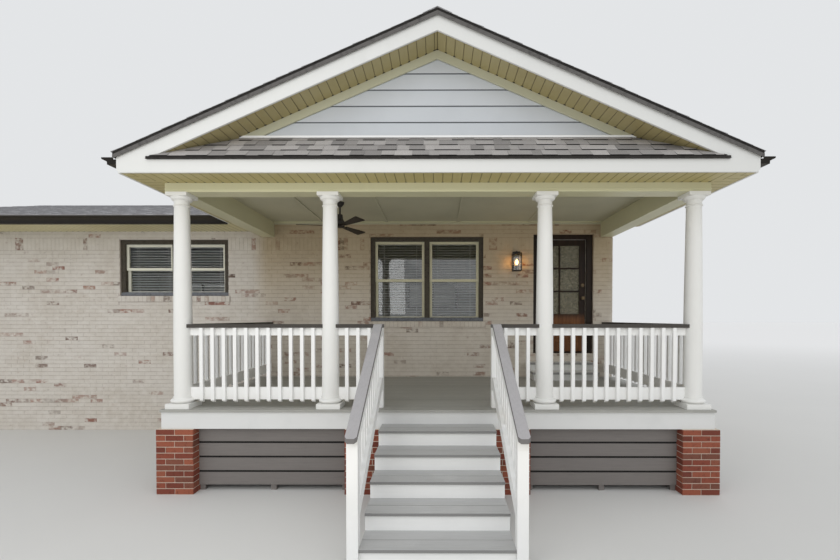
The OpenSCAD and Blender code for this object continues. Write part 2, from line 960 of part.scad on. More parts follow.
module door_steps() {
    rise = floor_rise / 3;
    run = 250;
    color(grey) for (i = [1 : 2]) {
        front = porch_depth - (3 - i) * run;
        block([step_x0 + 15, step_x1 - 15], [front + 20, porch_depth],
              [(i - 1) * rise, i * rise - 35]);
        block([step_x0, step_x1], [front, porch_depth], [i * rise - 35, i * rise]);
    }
}

// Door frame with a stop that the leaf closes against, and a sill.
module door_frame() {
    x = [door_x, door_x + door_w];
    z = [floor_z, floor_z + door_h];
    y = [porch_depth + 45, inner_y];
    stop = 15;
    color(dark) {
        difference() {
            block(x, y, z);
            block([x[0] + jamb[0], x[1] - jamb[1]], [0, far], [z[0] + 20, z[1] - head_jamb]);
        }
        difference() {
            block(x, [y[0], leaf_y - gap], z);
            block([x[0] + jamb[0] + stop, x[1] - jamb[1] - stop], [0, far],
                  [z[0] + 20, z[1] - head_jamb - stop]);
        }
    }
}

module lites() {
    middle = (leaf_x0 + stile[0] + leaf_x1 - stile[1]) / 2;
    row = (lite_z1 - lite_z0) / 3;
    for (side = [0, 1]) {
        for (i = [0 : 2]) {
            x = side == 0 ? [leaf_x0 + stile[0], middle - muntin / 2]
                          : [middle + muntin / 2, leaf_x1 - stile[1]];
            z = lite_z0 + i * row;
            block(x, [0, far], [z + (i > 0 ? muntin / 2 : 0), z + row - (i < 2 ? muntin / 2 : 0)]);
        }
    }
}

// The leaf opens inward: six lites over one sunk panel.
module door_leaf() {
    panel_z = [leaf_z0 + 160, lite_z0 - 150];
    panel_x = [leaf_x0 + stile[0], leaf_x1 - stile[1]];
    color("#5a3420") difference() {
        block([leaf_x0, leaf_x1], [leaf_y, leaf_y + leaf_t], [leaf_z0, leaf_z1]);
        lites();
        block(panel_x, [0, leaf_y + 12], panel_z);
        block(panel_x, [leaf_y + leaf_t - 12, far], panel_z);
    }
}

module door_glass() {
    color("#9fb2b8") intersection() {
        lites();
        block([0, far], [leaf_y + leaf_t / 2 - 4, leaf_y + leaf_t / 2 + 4], [0, far]);
    }
}

// Three lift-off hinges on the inner face. The lower halves are screwed to the frame and carry the
// pins. The upper halves are screwed to the edge of the leaf and turn on them.
module at_hinges() {
    for (z = [leaf_z0 + 200, (leaf_z0 + leaf_z1) / 2, leaf_z1 - 200]) {
        translate([hinge_x, hinge_y, z]) children();
    }
}

// One half's plate, from its left face, and the tongue that joins it to its barrel.
module hinge_plate(x, tongue_z, tongue_end) {
    plate_x = [x - hinge_x, x - hinge_x + hinge_plate_t];
    block(plate_x, [hinge_plate_y[0] - hinge_y, hinge_plate_y[1] - hinge_y], [-hinge_h, hinge_h]);
    block(plate_x, [hinge_plate_y[1] - hinge_y - 1, tongue_end], tongue_z);
}

module door_hinges() {
    color("#b08d57") at_hinges() {
        hinge_plate(door_x + jamb[0], [-hinge_h, -0.5], 0);
        translate([0, 0, -hinge_h]) {
            cylinder(r = hinge_r, h = hinge_h - 0.5);
            cylinder(r = hinge_pin_r, h = 2 * hinge_h - 5);
        }
    }
}

module upper_hinges() {
    at_hinges() difference() {
        union() {
            hinge_plate(leaf_x0 - hinge_plate_t, [0, hinge_h], -5);
            cylinder(r = hinge_r, h = hinge_h);
        }
        translate([0, 0, -1]) cylinder(r = hinge_pin_r + running_gap, h = 2 * hinge_h);
    }
}

// A set drawn on the outer face of the leaf, repeated on its inner face.
module both_faces() {
    children();
    translate([0, 2 * leaf_y + leaf_t, 0]) mirror([0, 1, 0]) children();
}

// A round rose, a neck and a knob that stands out from the face of the leaf.
module knob(z, r, out) {
    rose_r = 30;
    rose_t = 8;
    translate([leaf_x1 - stile[1] / 2, leaf_y, z]) rotate([90, 0, 0]) {
        cylinder(r = rose_r, h = rose_t);
        cylinder(r = r * 0.45, h = out - r / 2);
        translate([0, 0, out - r / 2]) cylinder(r = r, h = r / 2);
    }
}

// The knobs, the dead lock above them and the hinges' upper halves.
module door_hardware() {
    knob_z = floor_z + 965;
    lock_z = floor_z + 1190;
    color("#b08d57") {
        both_faces() {
            knob(knob_z, 28, 62);
            knob(lock_z, 20, 28);
        }
        upper_hinges();
    }
}

// Windows: a dark outer frame with a mullion, two pairs of sliding sashes and their glass.
module window_frames() {
    color(dark) at_all_windows() difference() {
        block([-$w / 2, $w / 2], [window_recess, window_recess + frame_d], [0, $h]);
        for (side = [-1, 1]) unit_hole(side);
    }
}

module unit_hole(side) {
    x = unit_x(side);
    block(x, [-1, wall_t], [frame_w / 2, $h - frame_w]);
}

// The clear width of one half of a window, between the frame and the mullion.
function unit_x(side) = side < 0
    ? [-$w / 2 + frame_w, -mullion / 2]
    : [mullion / 2, $w / 2 - frame_w];

// The upper sash slides in front of the lower one, and they overlap by one rail. $x, $y and $z
// give each child the place of its sash.
module at_sashes() {
    low = frame_w / 2;
    high = $h - frame_w;
    middle = (low + high) / 2;
    for (side = [-1, 1]) {
        for (upper = [false, true]) {
            $x = unit_x(side);
            $y = window_recess + sash_inset + (upper ? 0 : sash_t);
            $z = upper ? [middle - sash_w / 2, high] : [low, middle + sash_w / 2];
            children();
        }
    }
}

module window_sashes() {
    color(cream) at_all_windows() at_sashes() difference() {
        block($x, [$y, $y + sash_t], $z);
        block([$x[0] + sash_w, $x[1] - sash_w], [-1, wall_t], [$z[0] + sash_w, $z[1] - sash_w]);
    }
}

module window_glass() {
    color("#9fb2b8") at_all_windows() at_sashes() block(
        [$x[0] + sash_w, $x[1] - sash_w],
        [$y + (sash_t - pane_t) / 2, $y + (sash_t + pane_t) / 2],
        [$z[0] + sash_w, $z[1] - sash_w]
    );
}

// Wall lantern: a back plate, an arm, a roof and a floor held by four corner bars.
module wall_lantern() {
    x = 1360;
    w = 150;
    z = [1826, 2168];
    bar = 10;
    y = [porch_depth - 190, porch_depth - 190 + w];
    color("#26231f") {
        block([x - 55, x + 55], [porch_depth - 15, porch_depth], [z[0] + 40, z[1]]);
        block([x - 12, x + 12], [y[1], porch_depth - 15], [z[1] - 60, z[1] - 36]);
        block([x - w / 2, x + w / 2], y, [z[0], z[0] + 14]);
        block([x - w / 2, x + w / 2], y, [z[1] - 60, z[1] - 36]);
        block([x - w / 3, x + w / 3], [y[0] + w / 6, y[1] - w / 6], [z[1] - 36, z[1] - 16]);
        for (dx = [-w / 2, w / 2 - bar]) {
            for (dy = [y[0], y[1] - bar]) {
                block([x + dx, x + dx + bar], [dy, dy + bar], [z[0] + 14, z[1] - 60]);
            }
        }
    }
}

// Ceiling fan: the canopy, the rod and the motor stay still, and the hub turns on the shaft.
fan_shaft_r = 10;
fan_hub_z = [-17, 18];
fan_hub_r = 66;
fan_motor_z = fan_blade_z + fan_hub_z[1] + gap;
fan_shaft_z = fan_blade_z - 6;

module fan_mount() {
    z = fan_motor_z;
    color(dark) translate([fan_x, fan_y, 0]) rotate_extrude() polygon([
        [0, ceiling_z], [60, ceiling_z], [58, ceiling_z - 30], [25, ceiling_z - 68],
        [12, ceiling_z - 73], [12, z + 142], [38, z + 138], [42, z + 76],
        [fan_hub_r, z + 40], [fan_hub_r, z], [fan_shaft_r, z], [fan_shaft_r, fan_shaft_z],
        [0, fan_shaft_z]
    ]);
}

module fan_blades() {
    blade_root = 120;
    length = fan_r - blade_root;
    color(dark) translate([fan_x, fan_y, fan_blade_z]) {
        difference() {
            translate([0, 0, fan_hub_z[0]])
                cylinder(r = fan_hub_r, h = fan_hub_z[1] - fan_hub_z[0]);
            translate([0, 0, fan_shaft_z - fan_blade_z - 2])
                cylinder(r = fan_shaft_r + running_gap, h = 100);
        }
        for (i = [0 : fan_blade_count - 1]) rotate(i * 360 / fan_blade_count + fan_turn) {
            translate([50, -18, -8]) cube([100, 36, 8]);
            translate([blade_root, 0, 0]) rotate([-12, 0, 0]) linear_extrude(8) polygon([
                [0, -34], [length - 14, -74], [length, -58], [length, 58], [length - 14, 74],
                [0, 34]
            ]);
        }
    }
}

placed() {
    front_wall();
    front_wall_right();
    front_wall_over_door();
    left_wall();
    right_wall();
    rear_wall();
    house_floor();
    house_ceiling();
    main_roof();
    main_fascia();
    main_soffit();
    porch_roof();
    porch_fascia();
    porch_soffit();
    gable_wall();
    gable_trim();
    pent_roof();
    gutters();
    front_beam();
    side_beams();
    porch_ceiling();
    column_1();
    column_2();
    column_3();
    column_4();
    porch_deck();
    porch_frame();
    brick_piers();
    porch_skirts();
    front_railings();
    side_railings();
    stair_treads();
    stair_frame();
    stair_rails();
    door_steps();
    door_frame();
    door_hinges();
    door_leaf();
    door_glass();
    door_hardware();
    window_frames();
    window_sashes();
    window_glass();
    wall_lantern();
    fan_mount();
    fan_blades();
}
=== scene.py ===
"""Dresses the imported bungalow: brickwork, shingles, soffit boards, rail caps, blinds and finishes.

Shapes are drawn in the porch's own frame, in metres: the top of the deck is at Z = 0, its front
edge at Y = 0 and the middle of the stair at X = 0. PORCH moves them into the shared frame.
"""
import json
import math
import random

import bmesh
import bpy
from mathutils import Matrix, Vector


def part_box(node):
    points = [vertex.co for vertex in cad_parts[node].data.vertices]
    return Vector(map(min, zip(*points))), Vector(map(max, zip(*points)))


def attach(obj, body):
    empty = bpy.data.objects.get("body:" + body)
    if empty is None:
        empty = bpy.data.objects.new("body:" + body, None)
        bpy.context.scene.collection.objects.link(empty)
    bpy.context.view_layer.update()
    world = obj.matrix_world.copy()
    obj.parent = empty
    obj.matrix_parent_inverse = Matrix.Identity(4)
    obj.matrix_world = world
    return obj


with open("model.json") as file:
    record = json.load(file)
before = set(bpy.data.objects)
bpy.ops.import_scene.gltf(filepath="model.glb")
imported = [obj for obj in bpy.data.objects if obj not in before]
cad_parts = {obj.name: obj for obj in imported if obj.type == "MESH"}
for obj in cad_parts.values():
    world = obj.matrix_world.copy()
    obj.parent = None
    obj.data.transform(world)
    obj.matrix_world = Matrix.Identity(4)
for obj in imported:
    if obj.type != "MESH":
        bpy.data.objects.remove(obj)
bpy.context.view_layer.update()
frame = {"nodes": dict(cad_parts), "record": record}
random.seed(7)

PORCH = Vector((3.8425, -5.5925, 0.942))
X_AXIS = Vector((1, 0, 0))
Y_AXIS = Vector((0, 1, 0))
SIDES = ((-1, "left"), (1, "right"))


# Sizes read from the frame.

def box_of(node):
    """A node's lowest and highest corner, in the porch's frame."""
    low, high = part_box(node)
    return Vector(low) - PORCH, Vector(high) - PORCH


def solids(node):
    """The boxes of the separate solids of a node, in the porch's frame."""
    bm = bmesh.new()
    bm.from_mesh(frame["nodes"][node].data)
    bmesh.ops.remove_doubles(bm, verts=bm.verts, dist=1e-5)
    boxes = []
    seen = set()
    for start in bm.verts:
        if start in seen:
            continue
        seen.add(start)
        stack, island = [start], []
        while stack:
            vert = stack.pop()
            island.append(vert.co)
            for edge in vert.link_edges:
                other = edge.other_vert(vert)
                if other not in seen:
                    seen.add(other)
                    stack.append(other)
        boxes.append(tuple(Vector([pick(co[k] for co in island) for k in range(3)]) - PORCH
                           for pick in (min, max)))
    bm.free()
    return boxes


def inner_x(node):
    """How near the solids of a node come to the middle of the porch."""
    return min(abs(x) for low, high in solids(node) for x in (low.x, high.x))


# Sizes that the part's source states, in metres.
GROUND = -0.942
WALL_T = 0.25
DECK_HALF = 3.08
SOFFIT_Z = 2.53
PENT_TOP = 3.012
SIDING_EXPOSURE = 0.178
CEILING_Z = 2.68
FLOOR_Z = 0.405
DOOR_TREAD_T = 0.035
MAIN_SLOPE = 0.289
PORCH_SLOPE = 0.436
PORCH_RIDGE_Z = 4.187
RAKE_DROP = 0.213
FASCIA_T = 0.025
COLUMN_Y = 0.175
RAIL_Z = 0.948
CAP_T = 0.038
CAP_W = 0.114
NOSING = 0.025
SKIRT_TOP = -0.237
SKIRT_PITCH = 0.165
SKIRT_H = 0.142
STAIR_PITCH = 157 / 284

WALL_LOW, WALL_HIGH = box_of("rear_wall")
LEFT_X, RIGHT_X, REAR_Y = WALL_LOW.x, WALL_HIGH.x, WALL_HIGH.y - 0.02
FRONT_Y = box_of("house_floor")[0].y - WALL_T
ROOF_LOW, ROOF_HIGH = box_of("main_roof")
RIDGE_Y = (FRONT_Y + REAR_Y) / 2
RIDGE_Z = ROOF_HIGH.z
REAR_EAVE_Y = 2 * RIDGE_Y - ROOF_LOW.y
PORCH_ROOF_LOW, PORCH_ROOF_HIGH = box_of("porch_roof")


def main_top(y):
    return RIDGE_Z - MAIN_SLOPE * abs(y - RIDGE_Y)


def porch_top(x):
    return PORCH_RIDGE_Z - PORCH_SLOPE * abs(x)


def valley_y(x):
    """Where the two roofs meet, in plan."""
    return RIDGE_Y - (RIDGE_Z - porch_top(x)) / MAIN_SLOPE


# Camera, fitted to the photograph.

CAMERA_AT = PORCH + Vector((-0.004, -4.7251, 1.0174))
FOCAL_PX = 428.99
CENTRE_PX = (435.37, 324.82)
FRAME_PX = (840, 560)
SENSOR_MM = 36
CAMERA_PITCH = -0.0155
CAMERA_YAW = 0.0039


def add_camera():
    data = bpy.data.cameras.new("camera")
    data.sensor_width = SENSOR_MM
    data.lens = FOCAL_PX / FRAME_PX[0] * SENSOR_MM
    data.shift_x = (FRAME_PX[0] / 2 - CENTRE_PX[0]) / FRAME_PX[0]
    data.shift_y = (CENTRE_PX[1] - FRAME_PX[1] / 2) / FRAME_PX[0]
    data.clip_end = 200
    camera = bpy.data.objects.new("camera", data)
    camera.location = CAMERA_AT
    camera.rotation_euler = (math.pi / 2 + CAMERA_PITCH, 0, CAMERA_YAW)
    bpy.context.scene.collection.objects.link(camera)
    bpy.context.scene.camera = camera


# Materials. Paint builds one node tree, from object coordinates in the porch's frame.

def times(colour, by):
    """A colour times a number, or times another colour."""
    by = by if isinstance(by, tuple) else (by, by, by)
    return tuple(a * b for a, b in zip(colour, by))


paints = {}


class Paint:
    """One material, which paints keeps by its name."""

    def __init__(self, name, rough=0.6, metallic=0.0, specular=0.5):
        self.material = paints[name] = bpy.data.materials.new(name)
        self.material.use_nodes = True
        self.tree = self.material.node_tree
        self.inputs = self.tree.nodes["Principled BSDF"].inputs
        self.inputs["Roughness"].default_value = rough
        self.inputs["Metallic"].default_value = metallic
        self.inputs["Specular IOR Level"].default_value = specular
        coordinates = self.tree.nodes.new("ShaderNodeTexCoord").outputs
        self.normal = coordinates["Normal"]
        self.place = self.node("ShaderNodeVectorMath", {0: coordinates["Object"], 1: PORCH}, 0,
                               operation="SUBTRACT")

    def put(self, value, socket):
        """Links an output to a socket, or sets a plain value on it."""
        if isinstance(value, bpy.types.NodeSocket):
            self.tree.links.new(value, socket)
        elif hasattr(socket.default_value, "__len__") and len(value) == 3:
            size = len(socket.default_value)
            socket.default_value = (*value, 1)[:size]
        else:
            socket.default_value = value

    def node(self, kind, inputs, output, **settings):
        """Adds a node, fills its inputs and gives one of its outputs."""
        node = self.tree.nodes.new(kind)
        for key, value in settings.items():
            setattr(node, key, value)
        for key, value in inputs.items():
            self.put(value, node.inputs[key])
        return node.outputs[output]

    def axis(self, letter, of=None):
        """One number of the place, or of another vector."""
        return self.node("ShaderNodeSeparateXYZ", {0: self.place if of is None else of}, letter)

    def noise(self, scale, detail=4, rough=0.55, squeeze=None, distortion=0.0):
        """Noise that is drawn out along the axes with small factors in squeeze."""
        at = self.place
        if squeeze:
            at = self.node("ShaderNodeVectorMath", {0: at, 1: squeeze}, 0, operation="MULTIPLY")
        return self.node("ShaderNodeTexNoise", {
            "Vector": at, "Scale": scale, "Detail": detail, "Roughness": rough,
            "Distortion": distortion}, "Fac")

    def white(self, value):
        """A random number from a whole number."""
        return self.node("ShaderNodeTexWhiteNoise", {"W": value}, "Value", noise_dimensions="1D")

    def maths(self, operation, a, b=0.0, c=0.0, clamp=False):
        return self.node("ShaderNodeMath", {0: a, 1: b, 2: c}, 0, operation=operation,
                         use_clamp=clamp)

    def product(self, first, *others):
        for other in others:
            first = self.maths("MULTIPLY", first, other)
        return first

    def between(self, value, low, high, most=1.0):
        """0 below low, most above high, and smooth between them."""
        return self.node("ShaderNodeMapRange", {
            "Value": value, "From Min": low, "From Max": high, "To Max": most}, "Result",
            interpolation_type="SMOOTHSTEP")

    def ramp(self, value, stops):
        node = self.tree.nodes.new("ShaderNodeValToRGB")
        self.put(value, node.inputs["Fac"])
        elements = node.color_ramp.elements
        while len(elements) < len(stops):
            elements.new(0.5)
        for element, (position, colour) in zip(elements, stops):
            element.position = position
            element.color = (*colour, 1)
        return node.outputs["Color"]

    def mix(self, amount, a, b, blend="MIX"):
        return self.node("ShaderNodeMix", {"Factor": amount, 6: a, 7: b}, 2, data_type="RGBA",
                         blend_type=blend)

    def tone(self, name):
        """A number kept on each face of a piece."""
        return self.node("ShaderNodeAttribute", {}, "Fac", attribute_name=name)

    def done(self, colour, rough=None, bump=None):
        """The material. Rough is (value, low, high), and bump (height, strength, distance)."""
        self.put(colour, self.inputs["Base Color"])
        if rough:
            inputs = dict(zip(("Value", "To Min", "To Max"), rough))
            self.put(self.node("ShaderNodeMapRange", inputs, "Result"), self.inputs["Roughness"])
        if bump:
            inputs = dict(zip(("Height", "Strength", "Distance"), bump))
            self.put(self.node("ShaderNodeBump", inputs, "Normal"), self.inputs["Normal"])
        return self.material


def painted_metal(name, colour):
    """Coil-coated metal trim: faint long streaks and a little grime."""
    p = Paint(name, 0.4)
    grime = p.noise(1.7, 5)
    streak = p.noise(6, 3, squeeze=(1, 1, 0.15))
    shade = p.product(p.between(grime, 0.45, 0.8), p.between(streak, 0.35, 0.7), 0.5)
    return p.done(p.mix(shade, colour, times(colour, 0.86)), rough=(grime, 0.34, 0.52),
                  bump=(p.noise(9, 2), 0.15, 0.002))


def painted_wood(name, colour):
    """Painted boards: brushed grain, faint stains and a dusty foot above the deck."""
    p = Paint(name, 0.42)
    fibre = p.noise(70, 3, 0.6, squeeze=(1, 1, 0.08))
    stain = p.noise(2.3, 5, 0.6)
    height = p.axis("Z")
    foot = p.product(p.maths("SUBTRACT", 1.0, p.between(height, 0.0, 0.22)),
                     p.between(height, -0.01, 0.0), p.between(stain, 0.4, 0.62), 0.3)
    base = p.mix(p.between(stain, 0.5, 0.75, 0.25), colour, times(colour, 0.8))
    return p.done(p.mix(foot, base, times(colour, (0.72, 0.68, 0.60))),
                  rough=(stain, 0.37, 0.57), bump=(fibre, 0.12, 0.0015))


def under_porch(p):
    """1 on the front wall under the porch roof, and 0 on the other walls."""
    side = p.between(p.maths("ABSOLUTE", p.axis("X")), DECK_HALF - 0.15, DECK_HALF + 0.20)
    back = p.between(p.axis("Y"), FRONT_Y + 0.5, FRONT_Y + 1.0)
    return p.maths("SUBTRACT", 1.0, p.maths("MAXIMUM", side, back))


def porch_wall_shade(p, colour):
    """Painted shade on the wall under the porch roof: darker and warmer, most of all near the
    ceiling.
    """
    high = p.maths("MULTIPLY_ADD", p.between(p.axis("Z"), 0.7, 2.4), 0.8, 0.2)
    return p.mix(p.product(under_porch(p), high), colour,
                 p.mix(1.0, colour, (0.74, 0.645, 0.49), "MULTIPLY"))


def whitewash(name, is_mortar=False):
    """Brick under limewash. Some bricks show their red and brown through level streaks."""
    p = Paint(name, 0.85, specular=0.25)
    blotch = p.noise(9, 5, 0.6)
    if is_mortar:
        joint = p.mix(p.between(blotch, 0.3, 0.7), (0.47, 0.41, 0.365), (0.58, 0.525, 0.47))
        # The mortar under the porch roof gets the same painted shade.
        return p.done(porch_wall_shade(p, joint), bump=(p.noise(160, 3), 0.4, 0.002))
    smear = p.noise(13, 5, 0.6, squeeze=(1, 1, 1.3), distortion=0.1)
    pale = p.mix(p.between(p.noise(1.1, 4), 0.35, 0.7), (0.665, 0.622, 0.56), (0.60, 0.55, 0.48))
    pale = p.mix(p.between(blotch, 0.42, 0.68, 0.5), pale, (0.72, 0.68, 0.62))
    shade = p.product(p.maths("SUBTRACT", p.tone("tone"), 0.5), 0.14)
    pale = p.mix(p.maths("ABSOLUTE", shade), pale, (0.44, 0.385, 0.335))
    pale = p.mix(p.between(p.noise(60, 4, 0.6), 0.55, 0.72, 0.16), pale, (0.40, 0.34, 0.29))
    body = p.ramp(p.tone("tone"), [
        (0.0, (0.13, 0.088, 0.067)), (0.35, (0.26, 0.105, 0.075)),
        (0.7, (0.33, 0.175, 0.125)), (1.0, (0.17, 0.130, 0.105))
    ])
    bare = p.product(p.tone("bare"), p.between(smear, 0.36, 0.62))
    speck = p.between(smear, 0.60, 0.76, 0.35)
    show = p.product(p.maths("MAXIMUM", bare, speck), 0.95)
    # The wall's colour, with painted shade under the porch roof.
    return p.done(porch_wall_shade(p, p.mix(show, pale, body)), rough=(blotch, 0.75, 0.95),
                  bump=(p.noise(55, 6, 0.65), 0.55, 0.003))


def red_brick(name, is_mortar=False):
    p = Paint(name, 0.85, specular=0.3)
    blotch = p.noise(30, 5, 0.65)
    if is_mortar:
        return p.done(p.mix(blotch, (0.70, 0.62, 0.52), (0.55, 0.47, 0.38)),
                      bump=(p.noise(180, 3), 0.5, 0.002))
    body = p.ramp(p.tone("tone"), [
        (0.0, (0.15, 0.042, 0.028)), (0.4, (0.23, 0.060, 0.037)),
        (0.75, (0.32, 0.098, 0.055)), (1.0, (0.17, 0.066, 0.045))
    ])
    return p.done(p.mix(p.between(blotch, 0.5, 0.72, 0.6), body, (0.085, 0.032, 0.022)),
                  rough=(blotch, 0.7, 0.95), bump=(p.noise(70, 6, 0.7), 0.6, 0.003))


def shingle_paint(name, tint):
    """Asphalt granules with a blend of shades on the tabs; the lowest tones paint shade on the butts
    and shadow lines.
    """
    p = Paint(name, 0.9, specular=0.25)
    granule = p.noise(420, 2, 0.7)
    tone = p.tone("tone")
    shades = ((0.0, 0.018), (0.1, 0.27), (0.4, 0.38), (0.7, 0.51), (1.0, 0.64))
    tab = p.ramp(tone, [(at, times(tint, shade)) for at, shade in shades])
    light = p.mix(p.between(granule, 0.35, 0.7), (0.68, 0.68, 0.68), (1.27, 1.26, 1.25))
    weather = p.product(p.between(p.noise(0.7, 5), 0.5, 0.72, 0.2), p.between(tone, 0.02, 0.1))
    return p.done(p.mix(weather, p.mix(0.75, tab, light, "MULTIPLY"), times(tint, 0.33)),
                  bump=(granule, 0.6, 0.0015))


def roof_edge_paint(name):
    """The shaded ends of the shingles' layers, at the edges of the roofs."""
    p = Paint(name, 0.9, specular=0.2)
    layer = p.noise(60, 3, squeeze=(0.3, 0.3, 4))
    return p.done(p.mix(p.between(layer, 0.35, 0.7), (0.016, 0.015, 0.014),
                        (0.040, 0.037, 0.034)), bump=(p.noise(300, 2), 0.4, 0.0015))


def soffit_paint(name, colour):
    """Vented panels: darker in the grooves between their boards and black in the vents, both as
    painted shade.
    """
    p = Paint(name, 0.42)
    stain = p.noise(1.9, 4)
    groove = p.tone("groove")
    base = p.mix(p.between(stain, 0.38, 0.7), colour, times(colour, (0.93, 0.91, 0.84)))
    # Painted shade in the grooves.
    base = p.mix(p.maths("MULTIPLY", groove, 0.8, clamp=True), base, times(colour, 0.45))
    # Painted shade in the vents.
    vent_shade = p.maths("SUBTRACT", groove, 1.0, clamp=True)
    return p.done(p.mix(vent_shade, base, (0.022, 0.019, 0.014)), rough=(stain, 0.36, 0.55),
                  bump=(p.noise(40, 2), 0.08, 0.001))


def board_paint(name, colour, spread, along="X", board=0.1375, wear=0.35, edge=None):
    """Solid stain on boards: a shade for each board, long grain and pale scuffs.

    Edge is the colour of the faces that don't look up: painted shade.
    """
    p = Paint(name, 0.55)
    across, squeeze = ("Y", (0.06, 1, 1)) if along == "X" else ("X", (1, 0.06, 1))
    number = p.maths("FLOOR", p.maths("DIVIDE", p.axis(across), board))
    grain = p.noise(60, 5, 0.65, squeeze=squeeze, distortion=0.6)
    scuff = p.noise(3.1, 6, 0.62)
    low, high = times(colour, 1 - spread), times(colour, 1 + spread)
    base = p.mix(p.white(number), low, high)
    base = p.mix(p.between(grain, 0.4, 0.75, 0.28), base, times(colour, 0.62))
    pale = tuple(1.35 * c + 0.02 for c in colour)
    worn = p.mix(p.between(scuff, 0.52, 0.74, wear), base, pale)
    # Painted shade on the faces that don't look up.
    if edge:
        worn = p.mix(p.between(p.axis("Z", p.normal), 0.4, 0.7), edge, worn)
    return p.done(worn, rough=(scuff, 0.45, 0.73), bump=(grain, 0.25, 0.0015))


def stained_wood(name, dark, light, rough=0.45, below=None):
    """Varnished wood with long figured grain. Below a height it can be paler and more orange, as
    painted light.
    """
    p = Paint(name, rough, specular=0.2)
    squeeze = (1, 1, 0.05)
    figure = p.noise(14, 6, 0.6, squeeze=squeeze, distortion=1.2)
    pores = p.noise(160, 3, 0.6, squeeze=squeeze)

    def grain(dark, light):
        middle = tuple((a + b) / 2 for a, b in zip(dark, light))
        return p.ramp(figure, [(0.3, dark), (0.52, middle), (0.72, light)])

    base = grain(dark, light)
    # Painted light on the lower part.
    if below:
        height, low_dark, low_light = below
        base = p.mix(p.between(p.axis("Z"), height - 0.1, height + 0.06),
                     grain(low_dark, low_light), base)
    p.inputs["Coat Weight"].default_value = 0.1
    return p.done(p.mix(p.between(pores, 0.5, 0.7, 0.45), base, times(dark, 0.5)),
                  rough=(figure, rough - 0.07, rough + 0.15), bump=(pores, 0.12, 0.001))


def siding_paint(name, colour):
    """Fibre-cement laps with an embossed grain, with a painted shadow line under each lap and
    painted shade higher up in the gable.
    """
    p = Paint(name, 0.5)
    grain = p.noise(34, 5, 0.6, squeeze=(0.07, 1, 1), distortion=0.8)
    board = p.mix(p.between(p.noise(1.3, 4), 0.4, 0.75, 0.6), colour, times(colour, 0.88))
    height = p.maths("SUBTRACT", p.axis("Z"), PENT_TOP)
    # A painted shadow line under each lap.
    lap_shadow = p.between(p.maths("MODULO", height, SIDING_EXPOSURE), SIDING_EXPOSURE - 0.011,
                     SIDING_EXPOSURE - 0.007, 0.9)
    # Painted shade, darker higher up in the gable.
    board = p.mix(p.between(height, 0.35, 1.15, 0.26), board, (0.34, 0.36, 0.38))
    return p.done(p.mix(lap_shadow, board, (0.12, 0.13, 0.14)), bump=(grain, 0.35, 0.002))


def sash_paint(name):
    """Cream under the porch roof, painted darker and yellower there as shade, and paler on the other
    walls.
    """
    p = Paint(name, 0.38)
    stain = p.noise(3, 4)
    open_wall_sash = p.mix(stain, (0.80, 0.785, 0.67), (0.75, 0.73, 0.60))
    # The same sash paint, darker and yellower as painted shade under the porch roof.
    cream = p.mix(stain, (0.66, 0.62, 0.44), (0.61, 0.57, 0.39))
    return p.done(p.mix(under_porch(p), open_wall_sash, cream), rough=(stain, 0.32, 0.46))


def trim_paint(name):
    """The boards along the rakes are cream, darker and warmer than the white trim as painted shade
    under the rake soffit, and the flashing at their foot is white.
    """
    p = Paint(name, 0.42)
    stain = p.noise(2.2, 4)
    # Painted shade: the cream of the rake boards.
    cream = p.mix(stain, (0.50, 0.495, 0.365), (0.47, 0.46, 0.33))
    is_board = p.between(p.axis("Z"), PENT_TOP + 0.021, PENT_TOP + 0.023)
    return p.done(p.mix(is_board, (0.90, 0.895, 0.88), cream), rough=(stain, 0.36, 0.5))


def step_paint(name):
    """Grey treads over light risers, by height, for the steps at the door."""
    p = Paint(name, 0.55)
    rise = FLOOR_Z / 3
    part = p.maths("MODULO", p.maths("ADD", p.axis("Z"), 0.0005), rise)
    is_tread = p.between(part, rise - DOOR_TREAD_T - 0.0006, rise - DOOR_TREAD_T + 0.0001)
    scuff = p.noise(4, 5)
    grey = p.mix(scuff, (0.25, 0.245, 0.235), (0.33, 0.325, 0.315))
    light = p.mix(p.between(scuff, 0.45, 0.7), (0.66, 0.655, 0.63), (0.54, 0.53, 0.50))
    return p.done(p.mix(is_tread, light, grey),
                  bump=(p.noise(60, 4, squeeze=(0.06, 1, 1)), 0.2, 0.0015))


def glass_paint(name, colour, rough, ripple=0.0, clear=1.0):
    """Clear glass, which mirrors more under the porch roof, or glass with a rippled face."""
    p = Paint(name, rough, specular=0.6)
    p.inputs["Transmission Weight"].default_value = clear
    base = p.mix(p.between(p.noise(1.5, 3), 0.4, 0.8), colour, times(colour, 0.94))
    if not ripple:
        p.put(p.maths("MULTIPLY_ADD", under_porch(p), 0.45, 1.25), p.inputs["IOR"])
        return p.done(base)
    p.inputs["IOR"].default_value = 1.5
    wave = p.noise(42, 3, 0.5, distortion=1.6)
    return p.done(p.mix(p.between(wave, 0.42, 0.60), base, times(colour, 0.42)),
                  bump=(wave, ripple, 0.006))


def gutter_paint(name):
    """Dark bronze, painted blacker where it faces up as shade and olive where it faces the ground as
    bounce light.
    """
    p = Paint(name, 0.5, specular=0.2)
    tarnish = p.noise(24, 5, 0.6)
    # Painted shade on faces that look up, painted bounce light on faces that look down.
    base = p.mix(p.between(p.axis("Z", p.normal), -0.75, 0.15), (0.036, 0.029, 0.019),
                 (0.012, 0.010, 0.008))
    return p.done(p.mix(p.between(tarnish, 0.45, 0.72, 0.4), base, (0.022, 0.018, 0.014)),
                  rough=(tarnish, 0.46, 0.62), bump=(p.noise(90, 2), 0.08, 0.001))


